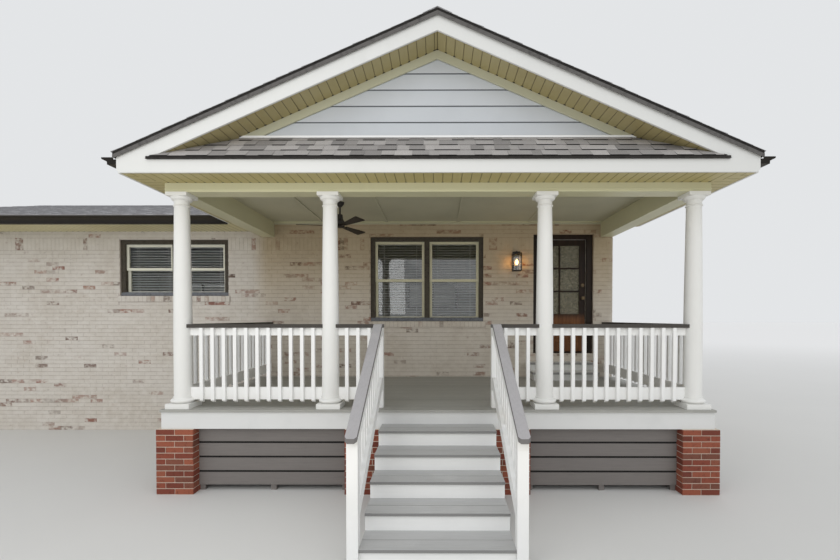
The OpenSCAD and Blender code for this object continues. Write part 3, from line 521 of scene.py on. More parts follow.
def metal_paint(name, colour, rough, metallic=1.0):
    p = Paint(name, rough, metallic)
    tarnish = p.noise(24, 5, 0.6)
    return p.done(p.mix(p.between(tarnish, 0.45, 0.72), colour, times(colour, 0.6)),
                  rough=(tarnish, rough - 0.08, rough + 0.2), bump=(p.noise(90, 2), 0.08, 0.001))


def plaster_paint(name, colour):
    p = Paint(name, 0.8)
    return p.done(p.mix(p.noise(3, 4), colour, times(colour, 0.92)),
                  bump=(p.noise(45, 4), 0.2, 0.002))


def ceiling_paint(name, colour):
    """Painted sheets of plywood, with the faint rise of their veneer."""
    p = Paint(name, 0.5)
    stain = p.noise(1.4, 5)
    grain = p.noise(30, 4, squeeze=(1, 0.08, 1), distortion=0.8)
    return p.done(p.mix(p.between(stain, 0.35, 0.75), colour, times(colour, 0.9)),
                  rough=(stain, 0.42, 0.6), bump=(grain, 0.12, 0.0015))


def blind_paint(name):
    p = Paint(name, 0.45)
    return p.done(p.mix(p.noise(5, 3), (0.90, 0.895, 0.87), (0.86, 0.85, 0.82)),
                  bump=(p.noise(60, 2), 0.05, 0.001))


def glow_paint(name):
    """The lit bulb of the lantern."""
    p = Paint(name, 0.3)
    p.inputs["Emission Color"].default_value = (1.0, 0.62, 0.24, 1)
    p.inputs["Emission Strength"].default_value = 5
    heat = p.between(p.axis("Z"), 1.93, 2.06)
    return p.done(p.mix(heat, (1.0, 0.72, 0.35), (1.0, 0.85, 0.55)))


# A board so wide that each half of the porch has one shade.
ONE_BOARD = 9

METALS = [
    ("dark_metal", (0.045, 0.040, 0.036), 0.38, 0.3),
    ("brass", (0.20, 0.145, 0.085), 0.34),
    ("dark_frame", (0.062, 0.050, 0.034), 0.6, 0.0),
    ("black_metal", (0.030, 0.026, 0.023), 0.42, 0.5),
    ("drip_metal", (0.115, 0.108, 0.102), 0.5, 0.1),
    # Paler than the gutters: a painted highlight on their lips.
    ("lip_highlight_metal", (0.33, 0.31, 0.29), 0.45, 0.1),
    # Near black: painted shade in the gaps of the skirts.
    ("gap_shade_paint", (0.012, 0.011, 0.010), 0.8, 0.0),
    ("weather_strip", (0.38, 0.35, 0.31), 0.6, 0.0),
    ("sill_metal", (0.17, 0.18, 0.20), 0.45, 0.1),
]
for row in METALS:
    metal_paint(*row)
painted_metal("white_trim", (0.80, 0.795, 0.765))
# beam_paint and fascia_paint are darker copies of the white trim, as painted shade; the beams'
# yellow is painted bounce light.
painted_metal("beam_paint", (0.62, 0.60, 0.40))
painted_metal("fascia_paint", (0.735, 0.735, 0.71))
painted_wood("white_paint", (0.87, 0.868, 0.85))
# A darker copy of the white paint, as painted shade on the deck's rim.
painted_wood("rim_paint", (0.71, 0.71, 0.695))
whitewash("whitewashed_mortar", is_mortar=True)
whitewash("whitewashed_brick")
red_brick("red_mortar", is_mortar=True)
red_brick("pier_brick")
plaster_paint("plaster", (0.50, 0.49, 0.46))
roof_edge_paint("roof_edge")
# One shingle in two tints: the main roof's is lighter, as painted light for its grazing look from
# the front.
shingle_paint("shingle_tabs", (1.13, 1.115, 1.14))
shingle_paint("pent_tabs", (0.87, 0.825, 0.79))
# One soffit paint in three copies: the porch and rake soffits are darker and yellower than the
# eaves, as painted shade and bounce light.
soffit_paint("cream_soffit", (0.51, 0.44, 0.205))
soffit_paint("rake_soffit_paint", (0.370, 0.315, 0.156))
soffit_paint("eave_paint", (0.68, 0.62, 0.37))
ceiling_paint("porch_ceiling_paint", (0.54, 0.525, 0.39))
siding_paint("siding", (0.565, 0.59, 0.615))
trim_paint("gable_trim_paint")
board_paint("floor_boards", (0.13, 0.075, 0.042), 0.15, board=0.12)
board_paint("deck_boards", (0.36, 0.355, 0.325), 0.07)
board_paint("skirt_boards", (0.19, 0.172, 0.160), 0.05, board=ONE_BOARD, wear=0.12)
board_paint("rail_cap_paint", (0.055, 0.048, 0.041), 0.05, "Y", ONE_BOARD, 0.3)
# The edge colours of the stair caps and treads are painted shade on their sides.
board_paint("stair_cap_paint", (0.42, 0.405, 0.41), 0.04, "Y", ONE_BOARD, 0.2,
            edge=(0.16, 0.153, 0.15))
board_paint("tread_paint", (0.50, 0.498, 0.49), 0.05, board=0.142, wear=0.25,
            edge=(0.24, 0.237, 0.23))
step_paint("step_paint")
stained_wood("dark_wood", (0.014, 0.009, 0.006), (0.034, 0.020, 0.012))
# The door is paler and more orange below 1.07 m, as painted light.
stained_wood("door_wood", (0.014, 0.008, 0.005), (0.038, 0.020, 0.011),
             below=(1.07, (0.085, 0.032, 0.012), (0.24, 0.100, 0.038)))
stained_wood("fan_blade", (0.013, 0.010, 0.008), (0.026, 0.019, 0.014), rough=0.5)
glass_paint("window_glass", (0.96, 0.975, 0.98), 0.015)
glass_paint("obscure_glass", (0.72, 0.66, 0.45), 0.11, ripple=1.6, clear=0.72)
glass_paint("lamp_glass", (0.95, 0.93, 0.88), 0.02)
glow_paint("lamp_glow")
sash_paint("cream_sash")
gutter_paint("gutter_metal")
blind_paint("blind_slats")

# A slot has the paint of its own name, but for these slots and these nodes.
SLOT_PAINTS = {
    "whitewashed_brick": "whitewashed_mortar", "red_brick": "red_mortar",
    "shingles": "roof_edge", "glass": "window_glass"
}
NODE_PAINTS = {
    "door_glass": "obscure_glass", "door_steps": "step_paint", "stair_treads": "tread_paint",
    "gutters": "gutter_metal", "front_beam": "beam_paint", "side_beams": "beam_paint",
    "main_soffit": "eave_paint", "porch_fascia": "fascia_paint",
    "gable_trim": "gable_trim_paint", "porch_frame": "rim_paint"
}


def dress_nodes():
    slots = {part["node"]: part["material_slot"] for part in frame["record"]["subparts"]}
    for name, node in frame["nodes"].items():
        paint = NODE_PAINTS.get(name) or SLOT_PAINTS.get(slots[name], slots[name])
        for slot in node.material_slots:
            slot.link = "OBJECT"
            slot.material = paints[paint]


# Making pieces.

# The sides between a ring of four corners and the next ring, and then with both ends closed.
RING_SIDES = [(0, 1, 5, 4), (1, 2, 6, 5), (2, 3, 7, 6), (3, 0, 4, 7)]
BAR_SIDES = RING_SIDES + [(3, 2, 1, 0), (4, 5, 6, 7)]


class Shapes:
    """Collects the faces of one joined mesh, with a number or two for each face."""

    def __init__(self):
        self.verts = []
        self.faces = []
        self.values = {}

    def add(self, verts, faces, **values):
        first = len(self.verts)
        self.verts += verts
        self.faces += [tuple(first + i for i in face) for face in faces]
        for key, value in values.items():
            self.values.setdefault(key, []).extend([value] * len(faces))

    def box(self, a, b):
        """A box between two opposite corners."""
        x, y, z = (sorted(pair) for pair in zip(a, b))
        self.add([(x[i], y[j], z[k]) for i in (0, 1) for j in (0, 1) for k in (0, 1)],
                 [(0, 1, 3, 2), (4, 6, 7, 5), (0, 4, 5, 1), (2, 3, 7, 6), (0, 2, 6, 4),
                  (1, 5, 7, 3)])

    def outer_strip(self, low, high, z, depth):
        """A strip along a level box, between two depths in from its outer side."""
        across = 1 if high.x - low.x > high.y - low.y else 0
        a, b = low.copy(), high.copy()
        if low[across] + high[across] < (0, 2 * RIDGE_Y)[across]:
            a[across], b[across] = (low[across] + d for d in depth)
        else:
            a[across], b[across] = (high[across] - d for d in depth)
        a.z, b.z = z
        self.box(a, b)


def piece(name, shapes, paint, body="house", clips=(), bevel=0.0, smooth=False):
    """Makes an object. Each clip is a point and a normal: what lies beyond it is cut away."""
    mesh = bpy.data.meshes.new(name)
    mesh.from_pydata(shapes.verts, [], shapes.faces)
    for key, values in shapes.values.items():
        mesh.attributes.new(key, "FLOAT", "FACE").data.foreach_set("value", values)
    if clips:
        bm = bmesh.new()
        bm.from_mesh(mesh)
        for point, normal in clips:
            geometry = bm.verts[:] + bm.edges[:] + bm.faces[:]
            bmesh.ops.bisect_plane(bm, geom=geometry, plane_co=point, plane_no=normal,
                                   clear_outer=True)
        bm.to_mesh(mesh)
        bm.free()
    mesh.transform(Matrix.Translation(PORCH))
    mesh.materials.append(paints[paint])
    if smooth:
        mesh.shade_smooth()
    made = bpy.data.objects.new(name, mesh)
    bpy.context.scene.collection.objects.link(made)
    if bevel:
        edge = made.modifiers.new("edges", "BEVEL")
        edge.width = bevel
        edge.segments = 2
        edge.limit_method = "ANGLE"
    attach(made, body)


# Walls.

class Wall:
    """An upright face: its left corner from outside, its way along and its way out."""

    def __init__(self, x, y, along, length):
        self.corner = Vector((x, y, 0))
        self.along = along
        self.out = Vector((along.y, -along.x, 0))
        self.length = length

    def at(self, u, z, depth):
        """The point at u along the wall and z up, depth out of its face."""
        return (self.corner.x + self.along.x * u + self.out.x * depth,
                self.corner.y + self.along.y * u + self.out.y * depth, z)


def walls_round(x0, y0, x1, y1):
    """The front, right, rear and left wall round a rectangle."""
    return (Wall(x0, y0, X_AXIS, x1 - x0), Wall(x1, y0, Y_AXIS, y1 - y0),
            Wall(x1, y1, -X_AXIS, x1 - x0), Wall(x0, y1, -Y_AXIS, y1 - y0))


WALLS = dict(zip(("front", "right", "rear", "left"),
                 walls_round(LEFT_X, FRONT_Y, RIGHT_X, REAR_Y)))


def in_walls(node):
    """The solids of a node, by wall: (wall, (start, end), (low, high), depth of outer face)."""
    for low, high in solids(node):
        for wall in WALLS.values():
            a, b = low - wall.corner, high - wall.corner
            if abs((a + b).dot(wall.out)) / 2 <= WALL_T:
                u = sorted((a.dot(wall.along), b.dot(wall.along)))
                yield wall, u, (low.z, high.z), max(a.dot(wall.out), b.dot(wall.out))


# Brickwork.

SOLDIER_ROW = 46
COURSE = (2.20 - GROUND) / SOLDIER_ROW
SOLDIER_H = 0.215
BRICK_MODULE = 0.2127
SOLDIER_MODULE = 0.0700
PIER_COURSE = 0.0677
JOINT = 0.007
HEAD_JOINT = 0.002
BRICK_PROUD = 0.004
CHAMFER = 0.0015
HEAD_CHAMFER = 0.0003
OUT_OF_TRUE = 0.0008
SMALLEST = 0.022
LOWEST = 0.015
BARE_CHANCE = 0.07
BARE_CHANCE_PORCH = 1.8 * BARE_CHANCE
BARE_CHANCE_NEXT = 0.34
SILL_H = 0.1
SILL_OUT = 0.024
SILL_SIDE = 0.03
SILL_MODULE = 0.0725
SILL_JOINT = 0.008
SILL_BARE_CHANCE = 0.16
# Higher than any course.
OVER_ALL = 9


def rows(top):
    """The courses from the ground up: (low, high, is a soldier course, number)."""
    z = GROUND
    number = 0
    while z < top:
        is_soldier = number == SOLDIER_ROW
        height = SOLDIER_H if is_soldier else COURSE
        yield z, z + height, is_soldier, number
        z += height
        number += 1


def stretches(length, low, high, holes):
    """Parts of a course that no hole cuts: (start, end, low, high)."""
    cuts = {0.0, length}
    for u0, u1, z0, z1 in holes:
        if z0 < high and z1 > low:
            cuts |= {min(max(u0, 0), length), min(max(u1, 0), length)}
    cuts = sorted(cuts)
    parts = []
    for a, b in zip(cuts, cuts[1:]):
        z0, z1 = low, high
        for u0, u1, hole_low, hole_high in holes:
            if u0 < b - 1e-6 and u1 > a + 1e-6 and hole_low < z1 and hole_high > z0:
                if hole_low <= z0 + 0.004:
                    z0 = max(z0, hole_high)
                else:
                    z1 = min(z1, hole_low)
        if z1 - z0 < LOWEST:
            continue
        if parts and parts[-1][1] == a and parts[-1][2:] == (z0, z1):
            parts[-1] = (parts[-1][0], b, z0, z1)
        else:
            parts.append((a, b, z0, z1))
    return parts


def add_brick(shapes, wall, u, z, proud, tone, bare):
    """One brick face with eased edges, a little out of true."""
    corners = ((0, 0), (1, 0), (1, 1), (0, 1))
    back = [wall.at(u[a], z[b], 0) for a, b in corners]
    face = [wall.at(u[a] + (HEAD_CHAMFER if a == 0 else -HEAD_CHAMFER),
                    z[b] + (CHAMFER if b == 0 else -CHAMFER),
                    proud + random.uniform(-OUT_OF_TRUE, OUT_OF_TRUE)) for a, b in corners]
    shapes.add(back + face, [(4, 5, 6, 7)] + RING_SIDES, tone=tone, bare=bare)


def lay_bricks(shapes, wall, top, holes, odd_first):
    """Courses cut round the holes. A brick beside a bare brick is more often bare."""
    for low, high, is_soldier, number in rows(top):
        module = SOLDIER_MODULE if is_soldier else BRICK_MODULE
        shift = 0.0 if is_soldier or (number % 2 == 0) != odd_first else -module / 2
        bare = 0.0
        for a, b, z0, z1 in stretches(wall.length, low, high, holes):
            for k in range(math.floor((a - shift) / module), math.ceil((b - shift) / module)):
                u0 = max(shift + k * module + HEAD_JOINT / 2, a)
                u1 = min(shift + (k + 1) * module - HEAD_JOINT / 2, b)
                by_porch = wall.out.y < -0.5 and abs(wall.at(u0, 0, 0)[0]) < DECK_HALF
                chance = (BARE_CHANCE_NEXT if bare else
                          BARE_CHANCE_PORCH if by_porch else BARE_CHANCE)
                bare = random.uniform(0.45, 1.0) if random.random() < chance else 0.0
                if u1 - u0 >= SMALLEST:
                    add_brick(shapes, wall, (u0, u1), (z0 + JOINT / 2, z1 - JOINT / 2),
                              BRICK_PROUD, random.random(), bare)


def sill_bricks(shapes, wall, windows):
    """Bricks on edge under each window, out over the wall."""
    for u0, u1, z0, _ in windows:
        length = u1 - u0 + 2 * SILL_SIDE
        count = round(length / SILL_MODULE)
        pitch = length / count
        for k in range(count):
            a = u0 - SILL_SIDE + k * pitch
            add_brick(shapes, wall, (a + SILL_JOINT / 2, a + pitch - SILL_JOINT / 2),
                      (z0 - SILL_H, z0 - 0.001), SILL_OUT, random.random(),
                      random.uniform(0.3, 0.9) if random.random() < SILL_BARE_CHANCE else 0.0)


def brick_walls():
    porch_x = box_of("front_beam")[1].x
    door_low, door_high = box_of("door_frame")
    doorway = (door_low.x - LEFT_X, door_high.x - LEFT_X, door_low.z, door_high.z)
    rakes = [(Vector((0, RIDGE_Y, RIDGE_Z - RAKE_DROP)), Vector((0, MAIN_SLOPE * side, 1)))
             for side in (-1, 1)]
    for name, top, over_soffit, extra, clips in (
            ("front", CEILING_Z, -porch_x - LEFT_X, [doorway], ()),
            ("rear", SOFFIT_Z, RIGHT_X - LEFT_X, [], ()),
            ("left", RIDGE_Z, 0, [], rakes), ("right", RIDGE_Z, 0, [], rakes)):
        wall = WALLS[name]
        windows = [(*u, *z) for at, u, z, _ in in_walls("window_frames") if at is wall]
        holes = [(u0 - SILL_SIDE, u1 + SILL_SIDE, z0 - SILL_H, z0) for u0, u1, z0, _ in windows]
        if over_soffit:
            holes.append((0, over_soffit, SOFFIT_Z, OVER_ALL))
        shapes = Shapes()
        lay_bricks(shapes, wall, top, windows + holes + extra, name in ("left", "right"))
        sill_bricks(shapes, wall, windows)
        piece("brickwork_" + name, shapes, "whitewashed_brick", clips=clips)


def pier_bricks():
    """Stretchers and half bricks in turn round the square piers."""
    shapes = Shapes()
    for low, high in solids("brick_piers"):
        width = high.x - low.x
        courses = round((high.z - low.z) / PIER_COURSE)
        pitch = (high.z - low.z) / courses
        for i in range(courses):
            z = (high.z - (i + 1) * pitch + JOINT / 2, high.z - i * pitch - JOINT / 2)
            for n, wall in enumerate(walls_round(low.x, low.y, high.x, high.y)):
                inner = [width / 4, 3 * width / 4] if (i + n) % 2 else [width / 2]
                cuts = [0, *inner, width]
                for a, b in zip(cuts, cuts[1:]):
                    start = a if a == 0 else a + JOINT / 2
                    end = b if b == width else b - JOINT / 2
                    add_brick(shapes, wall, (start, end), z, BRICK_PROUD, random.random(), 0.0)
    piece("pier_brickwork", shapes, "pier_brick")


# Shingles. A slope has a corner at its eaves, a direction along the eaves and one up the slope.

EXPOSURE = 0.143
TAB_LAP = 0.015
TAB_HEAD = 0.0008
# The least and greatest width and the thickness, for the low and the high tabs.
TABS = ((0.09, 0.2, 0.004), (0.12, 0.27, 0.0085))
NARROWEST = 0.05
STARTER = 0.012
OVERHANG = 0.006
SHADOW = 0.010
SHADOW_LIFT = 0.0022
CAP_HALF = 0.15
CAP_LAP = 0.02


def shingle_slope(name, corner, along, up, length, run, clips, paint="shingle_tabs", butt=0.16):
    """Lapped tabs, high and low in turn. Under each high tab lies a painted shadow line, and the
    butts take the same painted shade.
    """
    shapes = Shapes()
    normal = along.cross(up).normalized()
    if normal.z < 0:
        normal = -normal

    def at(u, s, lift):
        return tuple(corner + along * u + up * s + normal * lift)

    for i in range(math.ceil((run + STARTER) / EXPOSURE)):
        s0 = i * EXPOSURE - STARTER
        s1 = min(s0 + EXPOSURE + TAB_LAP, run)
        u = 0.0
        is_high = random.random() < 0.5
        while u < length:
            least, most, t = TABS[is_high]
            end = min(u + random.uniform(least, most), length)
            if length - end < NARROWEST:
                end = length
            tone = 0.14 + 0.80 * random.betavariate(1.8, 1.8)
            ring = [at(u, s0, 0), at(end, s0, 0), at(end, s1, 0), at(u, s1, 0), at(u, s0, t),
                    at(end, s0, t), at(end, s1, TAB_HEAD), at(u, s1, TAB_HEAD)]
            shapes.add(ring, [(4, 5, 6, 7)], tone=tone)
            # Painted shade on the butts.
            shapes.add(ring, [(0, 1, 5, 4), (1, 2, 6, 5), (3, 0, 4, 7)], tone=butt)
            # A painted shadow line under each high tab.
            if is_high and i > 0:
                shapes.add([at(u, s0 - SHADOW, SHADOW_LIFT), at(end, s0 - SHADOW, SHADOW_LIFT),
                            at(end, s0, SHADOW_LIFT), at(u, s0, SHADOW_LIFT)],
                           [(0, 1, 2, 3)], tone=butt)
            u = end
            is_high = not is_high
    piece(name, shapes, paint, clips=clips)


def ridge_caps(name, start, direction, length, slope):
    """Bent shingles lapped along a ridge."""
    shapes = Shapes()
    side = Vector((-direction.y, direction.x, 0))
    for k in range(math.ceil(length / EXPOSURE)):
        a0 = k * EXPOSURE
        ring = []
        for a, lift in ((a0, 0.014), (min(a0 + EXPOSURE + CAP_LAP, length), 0.008)):
            for s in (-CAP_HALF, 0, CAP_HALF):
                p = start + direction * a + side * s
                ring.append((p.x, p.y, p.z - slope * abs(s) + lift - (0.002 if s else 0)))
        under = [(x, y, z - 0.006) for x, y, z in ring[:3]]
        shapes.add(ring + under, [(0, 1, 4, 3), (1, 2, 5, 4), (6, 7, 1, 0), (7, 8, 2, 1)],
                   tone=0.15 + 0.75 * random.betavariate(2.6, 2.6))
    piece(name, shapes, "shingle_tabs")


def shingles():
    main_slant, porch_slant = math.hypot(1, MAIN_SLOPE), math.hypot(1, PORCH_SLOPE)
    run = (RIDGE_Y - ROOF_LOW.y) * main_slant
    eave_z = main_top(ROOF_LOW.y)
    x0, x1 = ROOF_LOW.x - OVERHANG, ROOF_HIGH.x + OVERHANG
    porch_half, porch_y = PORCH_ROOF_HIGH.x, PORCH_ROOF_LOW.y
    head = Vector((0, valley_y(0), 0))
    for side, name in SIDES:
        line = (Vector((side * porch_half, valley_y(porch_half), 0)) - head).normalized()
        behind = Vector((-line.y, line.x, 0)) * side
        # The main slope lies behind the valley, and the porch slope in front of it.
        start, length = (x0, -x0) if side < 0 else (0.0, x1)
        shingle_slope("main_shingles_front_" + name, Vector((start, ROOF_LOW.y, eave_z)), X_AXIS,
                      Vector((0, 1, MAIN_SLOPE)) / main_slant, length, run, [(head, -behind)])
        shingle_slope("porch_shingles_" + name,
                      Vector((side * porch_half, porch_y - OVERHANG, porch_top(porch_half))),
                      Y_AXIS, Vector((-side, 0, PORCH_SLOPE)) / porch_slant, RIDGE_Y - porch_y,
                      porch_half * porch_slant, [(head, behind)])
    shingle_slope("main_shingles_rear", Vector((x1, REAR_EAVE_Y, eave_z)), -X_AXIS,
                  Vector((0, -1, MAIN_SLOPE)) / main_slant, x1 - x0, run, ())
    ridge_caps("main_ridge_caps", Vector((x0, RIDGE_Y, RIDGE_Z)), X_AXIS, x1 - x0, MAIN_SLOPE)
    ridge_caps("porch_ridge_caps", Vector((0, porch_y - OVERHANG, PORCH_RIDGE_Z)), Y_AXIS,
               valley_y(0) - porch_y, PORCH_SLOPE)


def pent_shingles():
    """Courses on the small roof at the foot of the gable, cut along the rakes."""
    low, high = box_of("pent_roof")
    edge_t = 0.029
    front = Vector((0, low.y, low.z + edge_t))
    back = Vector((0, high.y, high.z))
    peak = Vector((0, 0, PORCH_RIDGE_Z - RAKE_DROP))
    shingle_slope("pent_shingles", Vector((low.x, front.y, front.z)), X_AXIS,
                  (back - front).normalized(), high.x - low.x, (back - front).length,
                  [(peak, Vector((side * PORCH_SLOPE, 0, 1))) for side in (-1, 1)],
                  paint="pent_tabs", butt=0.0)


# Metal edges of the roofs.

DRIP_T = 0.003
# How far the drip edges' top and bottom lie below the top of the roof.
DRIP_DROPS = (0.069, 0.028)
LIP_H = 0.008
LIP_DEPTH = 0.006
LIP_PROUD = 0.0005


def drip_edges():
    """Metal strips under the shingles' edges."""
    shapes = Shapes()
    for side in (-1, 1):
        ring = [(x, y, porch_top(x) - drop) for x in (0, side * PORCH_ROOF_HIGH.x)
                for y in (PORCH_ROOF_LOW.y - DRIP_T, PORCH_ROOF_LOW.y) for drop in DRIP_DROPS]
        shapes.add(ring, [(0, 1, 5, 4), (2, 6, 7, 3), (0, 4, 6, 2), (1, 3, 7, 5), (4, 5, 7, 6)])
    for x, out, start in ((ROOF_LOW.x, -DRIP_T, ROOF_LOW.y),
                          (ROOF_HIGH.x, DRIP_T, valley_y(PORCH_ROOF_HIGH.x))):
        for ends in ((start, RIDGE_Y), (RIDGE_Y, REAR_EAVE_Y)):
            ring = [(a, y, main_top(y) - drop) for a in (x, x + out) for y in ends
                    for drop in DRIP_DROPS]
            shapes.add(ring, [(0, 2, 3, 1), (4, 5, 7, 6), (0, 4, 6, 2), (1, 3, 7, 5)])
    for y, out, end_x in ((ROOF_LOW.y, -DRIP_T, -PORCH_ROOF_HIGH.x),
                          (REAR_EAVE_Y, DRIP_T, ROOF_HIGH.x)):
        bottom, top = (main_top(y) - drop for drop in DRIP_DROPS)
        shapes.box((ROOF_LOW.x, y, bottom), (end_x, y + out, top))
    piece("drip_edges", shapes, "drip_metal")


def pent_drip():
    low, high = box_of("pent_roof")
    shapes = Shapes()
    shapes.box((low.x + 0.01, low.y - 0.004, low.z - 0.004),
               (high.x - 0.01, low.y + 0.05, low.z + 0.022))
    piece("pent_drip_edge", shapes, "black_metal", bevel=0.002)


def gutter_lips():
    """The rolled front edges of the gutters, in a paler metal as a painted highlight."""
    shapes = Shapes()
    for low, high in solids("gutters"):
        shapes.outer_strip(low, high, (high.z - LIP_H, high.z + LIP_PROUD),
                           (-LIP_PROUD, LIP_DEPTH))
    piece("gutter_lips", shapes, "lip_highlight_metal", bevel=0.0015)


def ceiling_board():
    """A flat board that closes the porch ceiling against the brick."""
    half = inner_x("side_beams") - 0.002
    shapes = Shapes()
    shapes.box((-half, FRONT_Y - 0.092, CEILING_Z - 0.019),
               (half, FRONT_Y - 0.005, CEILING_Z - 0.0005))
    piece("ceiling_wall_board", shapes, "beam_paint", bevel=0.003)


# Soffit boards, drawn under the soffits' own plates.

SOFFIT_BOARD = 0.1016
GROOVE_HALF = 0.0045
GROOVE_TOP = 0.0002
BOARD_DROP = 0.005
VENT_DROP = BOARD_DROP + 0.0006
VENT_HALF = 0.012
VENT_ENDS = (-0.020, -0.001)


def soffit_boards(name, across, along, surface, clips=(), vent_end=None, paint="eave_paint",
                  slope=0):
    """Boards with grooves between them, and a row of small vents along one edge, dark as painted
    shade.

    The surface gives the point for a place across the boards, one along them and a drop.
    """
    shapes = Shapes()
    pitch = SOFFIT_BOARD * math.cos(math.atan(slope))
    count = math.ceil((across[1] - across[0]) / pitch)
    edges = [min(across[0] + k * pitch, across[1]) for k in range(count + 1)]
    for a, b in zip(edges, edges[1:]):
        if b - a < 2.5 * GROOVE_HALF:
            continue
        profile = [(a, GROOVE_TOP), (a + GROOVE_HALF, BOARD_DROP), (b - GROOVE_HALF, BOARD_DROP),
                   (b, GROOVE_TOP)]
        ends = [surface(u, v, drop) for v in along for u, drop in profile]
        shapes.add(ends, [(1, 2, 6, 5)], groove=0.0)
        shapes.add(ends, [(0, 1, 5, 4), (2, 3, 7, 6)], groove=1.0)
        if vent_end is not None:
            v0, v1 = (vent_end + v for v in VENT_ENDS)
            shapes.add([surface(b + u, v, VENT_DROP) for u, v in (
                (-VENT_HALF, v0), (VENT_HALF, v0), (VENT_HALF, v1), (-VENT_HALF, v1))],
                [(0, 1, 2, 3)], groove=2.0)
    piece(name, shapes, paint, clips=clips)


def level_front(u, v, drop):
    return u, v, SOFFIT_Z - drop


def level_side(u, v, drop):
    return v, u, SOFFIT_Z - drop


def porch_rake(u, v, drop):
    return u, v, porch_top(u) - RAKE_DROP - drop


def main_rake(u, v, drop):
    return v, u, main_top(u) - RAKE_DROP - drop


def soffits():
    low, high = box_of("porch_soffit")
    main_low, main_high = box_of("main_soffit")
    beam_low, beam_high = box_of("front_beam")
    gable_y, trim_y = box_of("gable_wall")[0].y, box_of("gable_trim")[0].y
    beam_y, beam_x = beam_low.y + 0.008, beam_high.x
    eave = box_of("main_fascia")[0].y + FASCIA_T
    reach = (PORCH_RIDGE_Z - RAKE_DROP - box_of("pent_roof")[0].z) / PORCH_SLOPE
    mitres = []
    for side in (-1, 1):
        corner = Vector((side * high.x, low.y, 0))
        line = (Vector((side * beam_x, beam_y, 0)) - corner).normalized()
        mitres.append((corner, Vector((line.y, -line.x, 0)) * side))
    soffit_boards("soffit_boards_front", (-high.x, high.x), (low.y, beam_y), level_front,
                  clips=mitres, vent_end=beam_low.y, paint="cream_soffit")
    for (side, name), end, (corner, normal) in zip(SIDES, (eave, high.y), mitres):
        soffit_boards("soffit_boards_porch_" + name, (low.y, end), (side * high.x, side * beam_x),
                      level_side, clips=[(corner, -normal)], paint="cream_soffit")
    for side, name in SIDES:
        soffit_boards("soffit_boards_rake_" + name, sorted((0, side * reach)), (low.y, gable_y),
                      porch_rake, vent_end=trim_y, paint="rake_soffit_paint", slope=PORCH_SLOPE)
    soffit_boards("soffit_boards_main", (main_low.x, -beam_x), (eave, FRONT_Y), level_front,
                  vent_end=FRONT_Y)
    soffit_boards("soffit_boards_rear", (main_low.x, main_high.x), (2 * RIDGE_Y - eave, REAR_Y),
                  level_front)
    meet = RIDGE_Y - (RIDGE_Z - RAKE_DROP - SOFFIT_Z) / MAIN_SLOPE
    for x, wall_x, name in ((main_low.x, LEFT_X, "left"), (main_high.x, RIGHT_X, "right")):
        soffit_boards("soffit_boards_end_" + name, (meet, 2 * RIDGE_Y - meet), (x, wall_x),
                      main_rake, slope=MAIN_SLOPE)


# Caps, laid over the top boards of the railings and the stair rails.

CAP_COVER = 0.0015
CAP_CLIP = 0.028 / math.sqrt(2)


def rail_caps():
    shapes = Shapes()
    front_y = box_of("front_railings")[1].y
    side_x = box_of("side_railings")[1].x
    column_x = sum(corner.x for corner in box_of("column_4")) / 2
    bottom, top = RAIL_Z - CAP_T - CAP_COVER, RAIL_Z + CAP_COVER
    for side in (-1, 1):
        shapes.box((side * (inner_x("front_railings") + 0.002), front_y - CAP_W - CAP_COVER,
                    bottom), (side * column_x, front_y + CAP_COVER, top))
        shapes.box((side * (side_x - CAP_W - CAP_COVER), COLUMN_Y, bottom),
                   (side * (side_x + CAP_COVER), FRONT_Y - 0.004, top))
    piece("rail_caps", shapes, "rail_cap_paint", bevel=0.004)


def stair_caps():
    """Sloping caps with clipped lower corners and a bend at the edge of the deck."""
    low, high = box_of("stair_rails")
    rails = sorted(solids("stair_rails"), key=lambda box: box[0].x)
    for name, (a, b) in zip(("left", "right"), rails):
        x0, x1 = a.x - CAP_COVER, b.x + CAP_COVER
        y0 = low.y - CAP_COVER
        outline = [(x0 + CAP_CLIP, y0), (x1 - CAP_CLIP, y0), (x1, low.y + CAP_CLIP),
                   (x1, NOSING), (x1, high.y), (x0, high.y), (x0, NOSING),
                   (x0, low.y + CAP_CLIP)]
        rings = [(x, y, RAIL_Z + STAIR_PITCH * (min(y, NOSING) - NOSING) + lift)
                 for lift in (CAP_COVER, -CAP_T - CAP_COVER) for x, y in outline]
        faces = [(0, 1, 2, 7), (7, 2, 3, 6), (6, 3, 4, 5)]
        faces += [tuple(8 + i for i in reversed(face)) for face in faces]
        faces += [(i, 8 + i, 8 + (i + 1) % 8, (i + 1) % 8) for i in range(8)]
        shapes = Shapes()
        shapes.add(rings, faces)
        piece("stair_cap_" + name, shapes, "stair_cap_paint", bevel=0.004)


# Windows: blinds behind the glass, locks on the meeting rails and metal sills.

SLAT_PITCH = 0.045
SLAT_W = 0.048
SLAT_T = 0.003
SLAT_OPEN = math.radians(21)
SLAT_SHUT = math.radians(70)
BLIND_DEPTH = 0.175
BLIND_SIDE = 0.008
BLIND_FOOT = 0.05
BLIND_HEAD = 0.06
TAPE_OUT = 0.024
LOCK_HALF = 0.022


def window_units():
    """The openings that pairs of hung sashes fill: (wall, (start, end), (low, high))."""
    units = {}
    for wall, u, z, _ in in_walls("window_sashes"):
        key = (wall, round(u[0], 2))
        low, high = units[key][2] if key in units else z
        units[key] = (wall, u, (min(z[0], low), max(z[1], high)))
    return units.values()


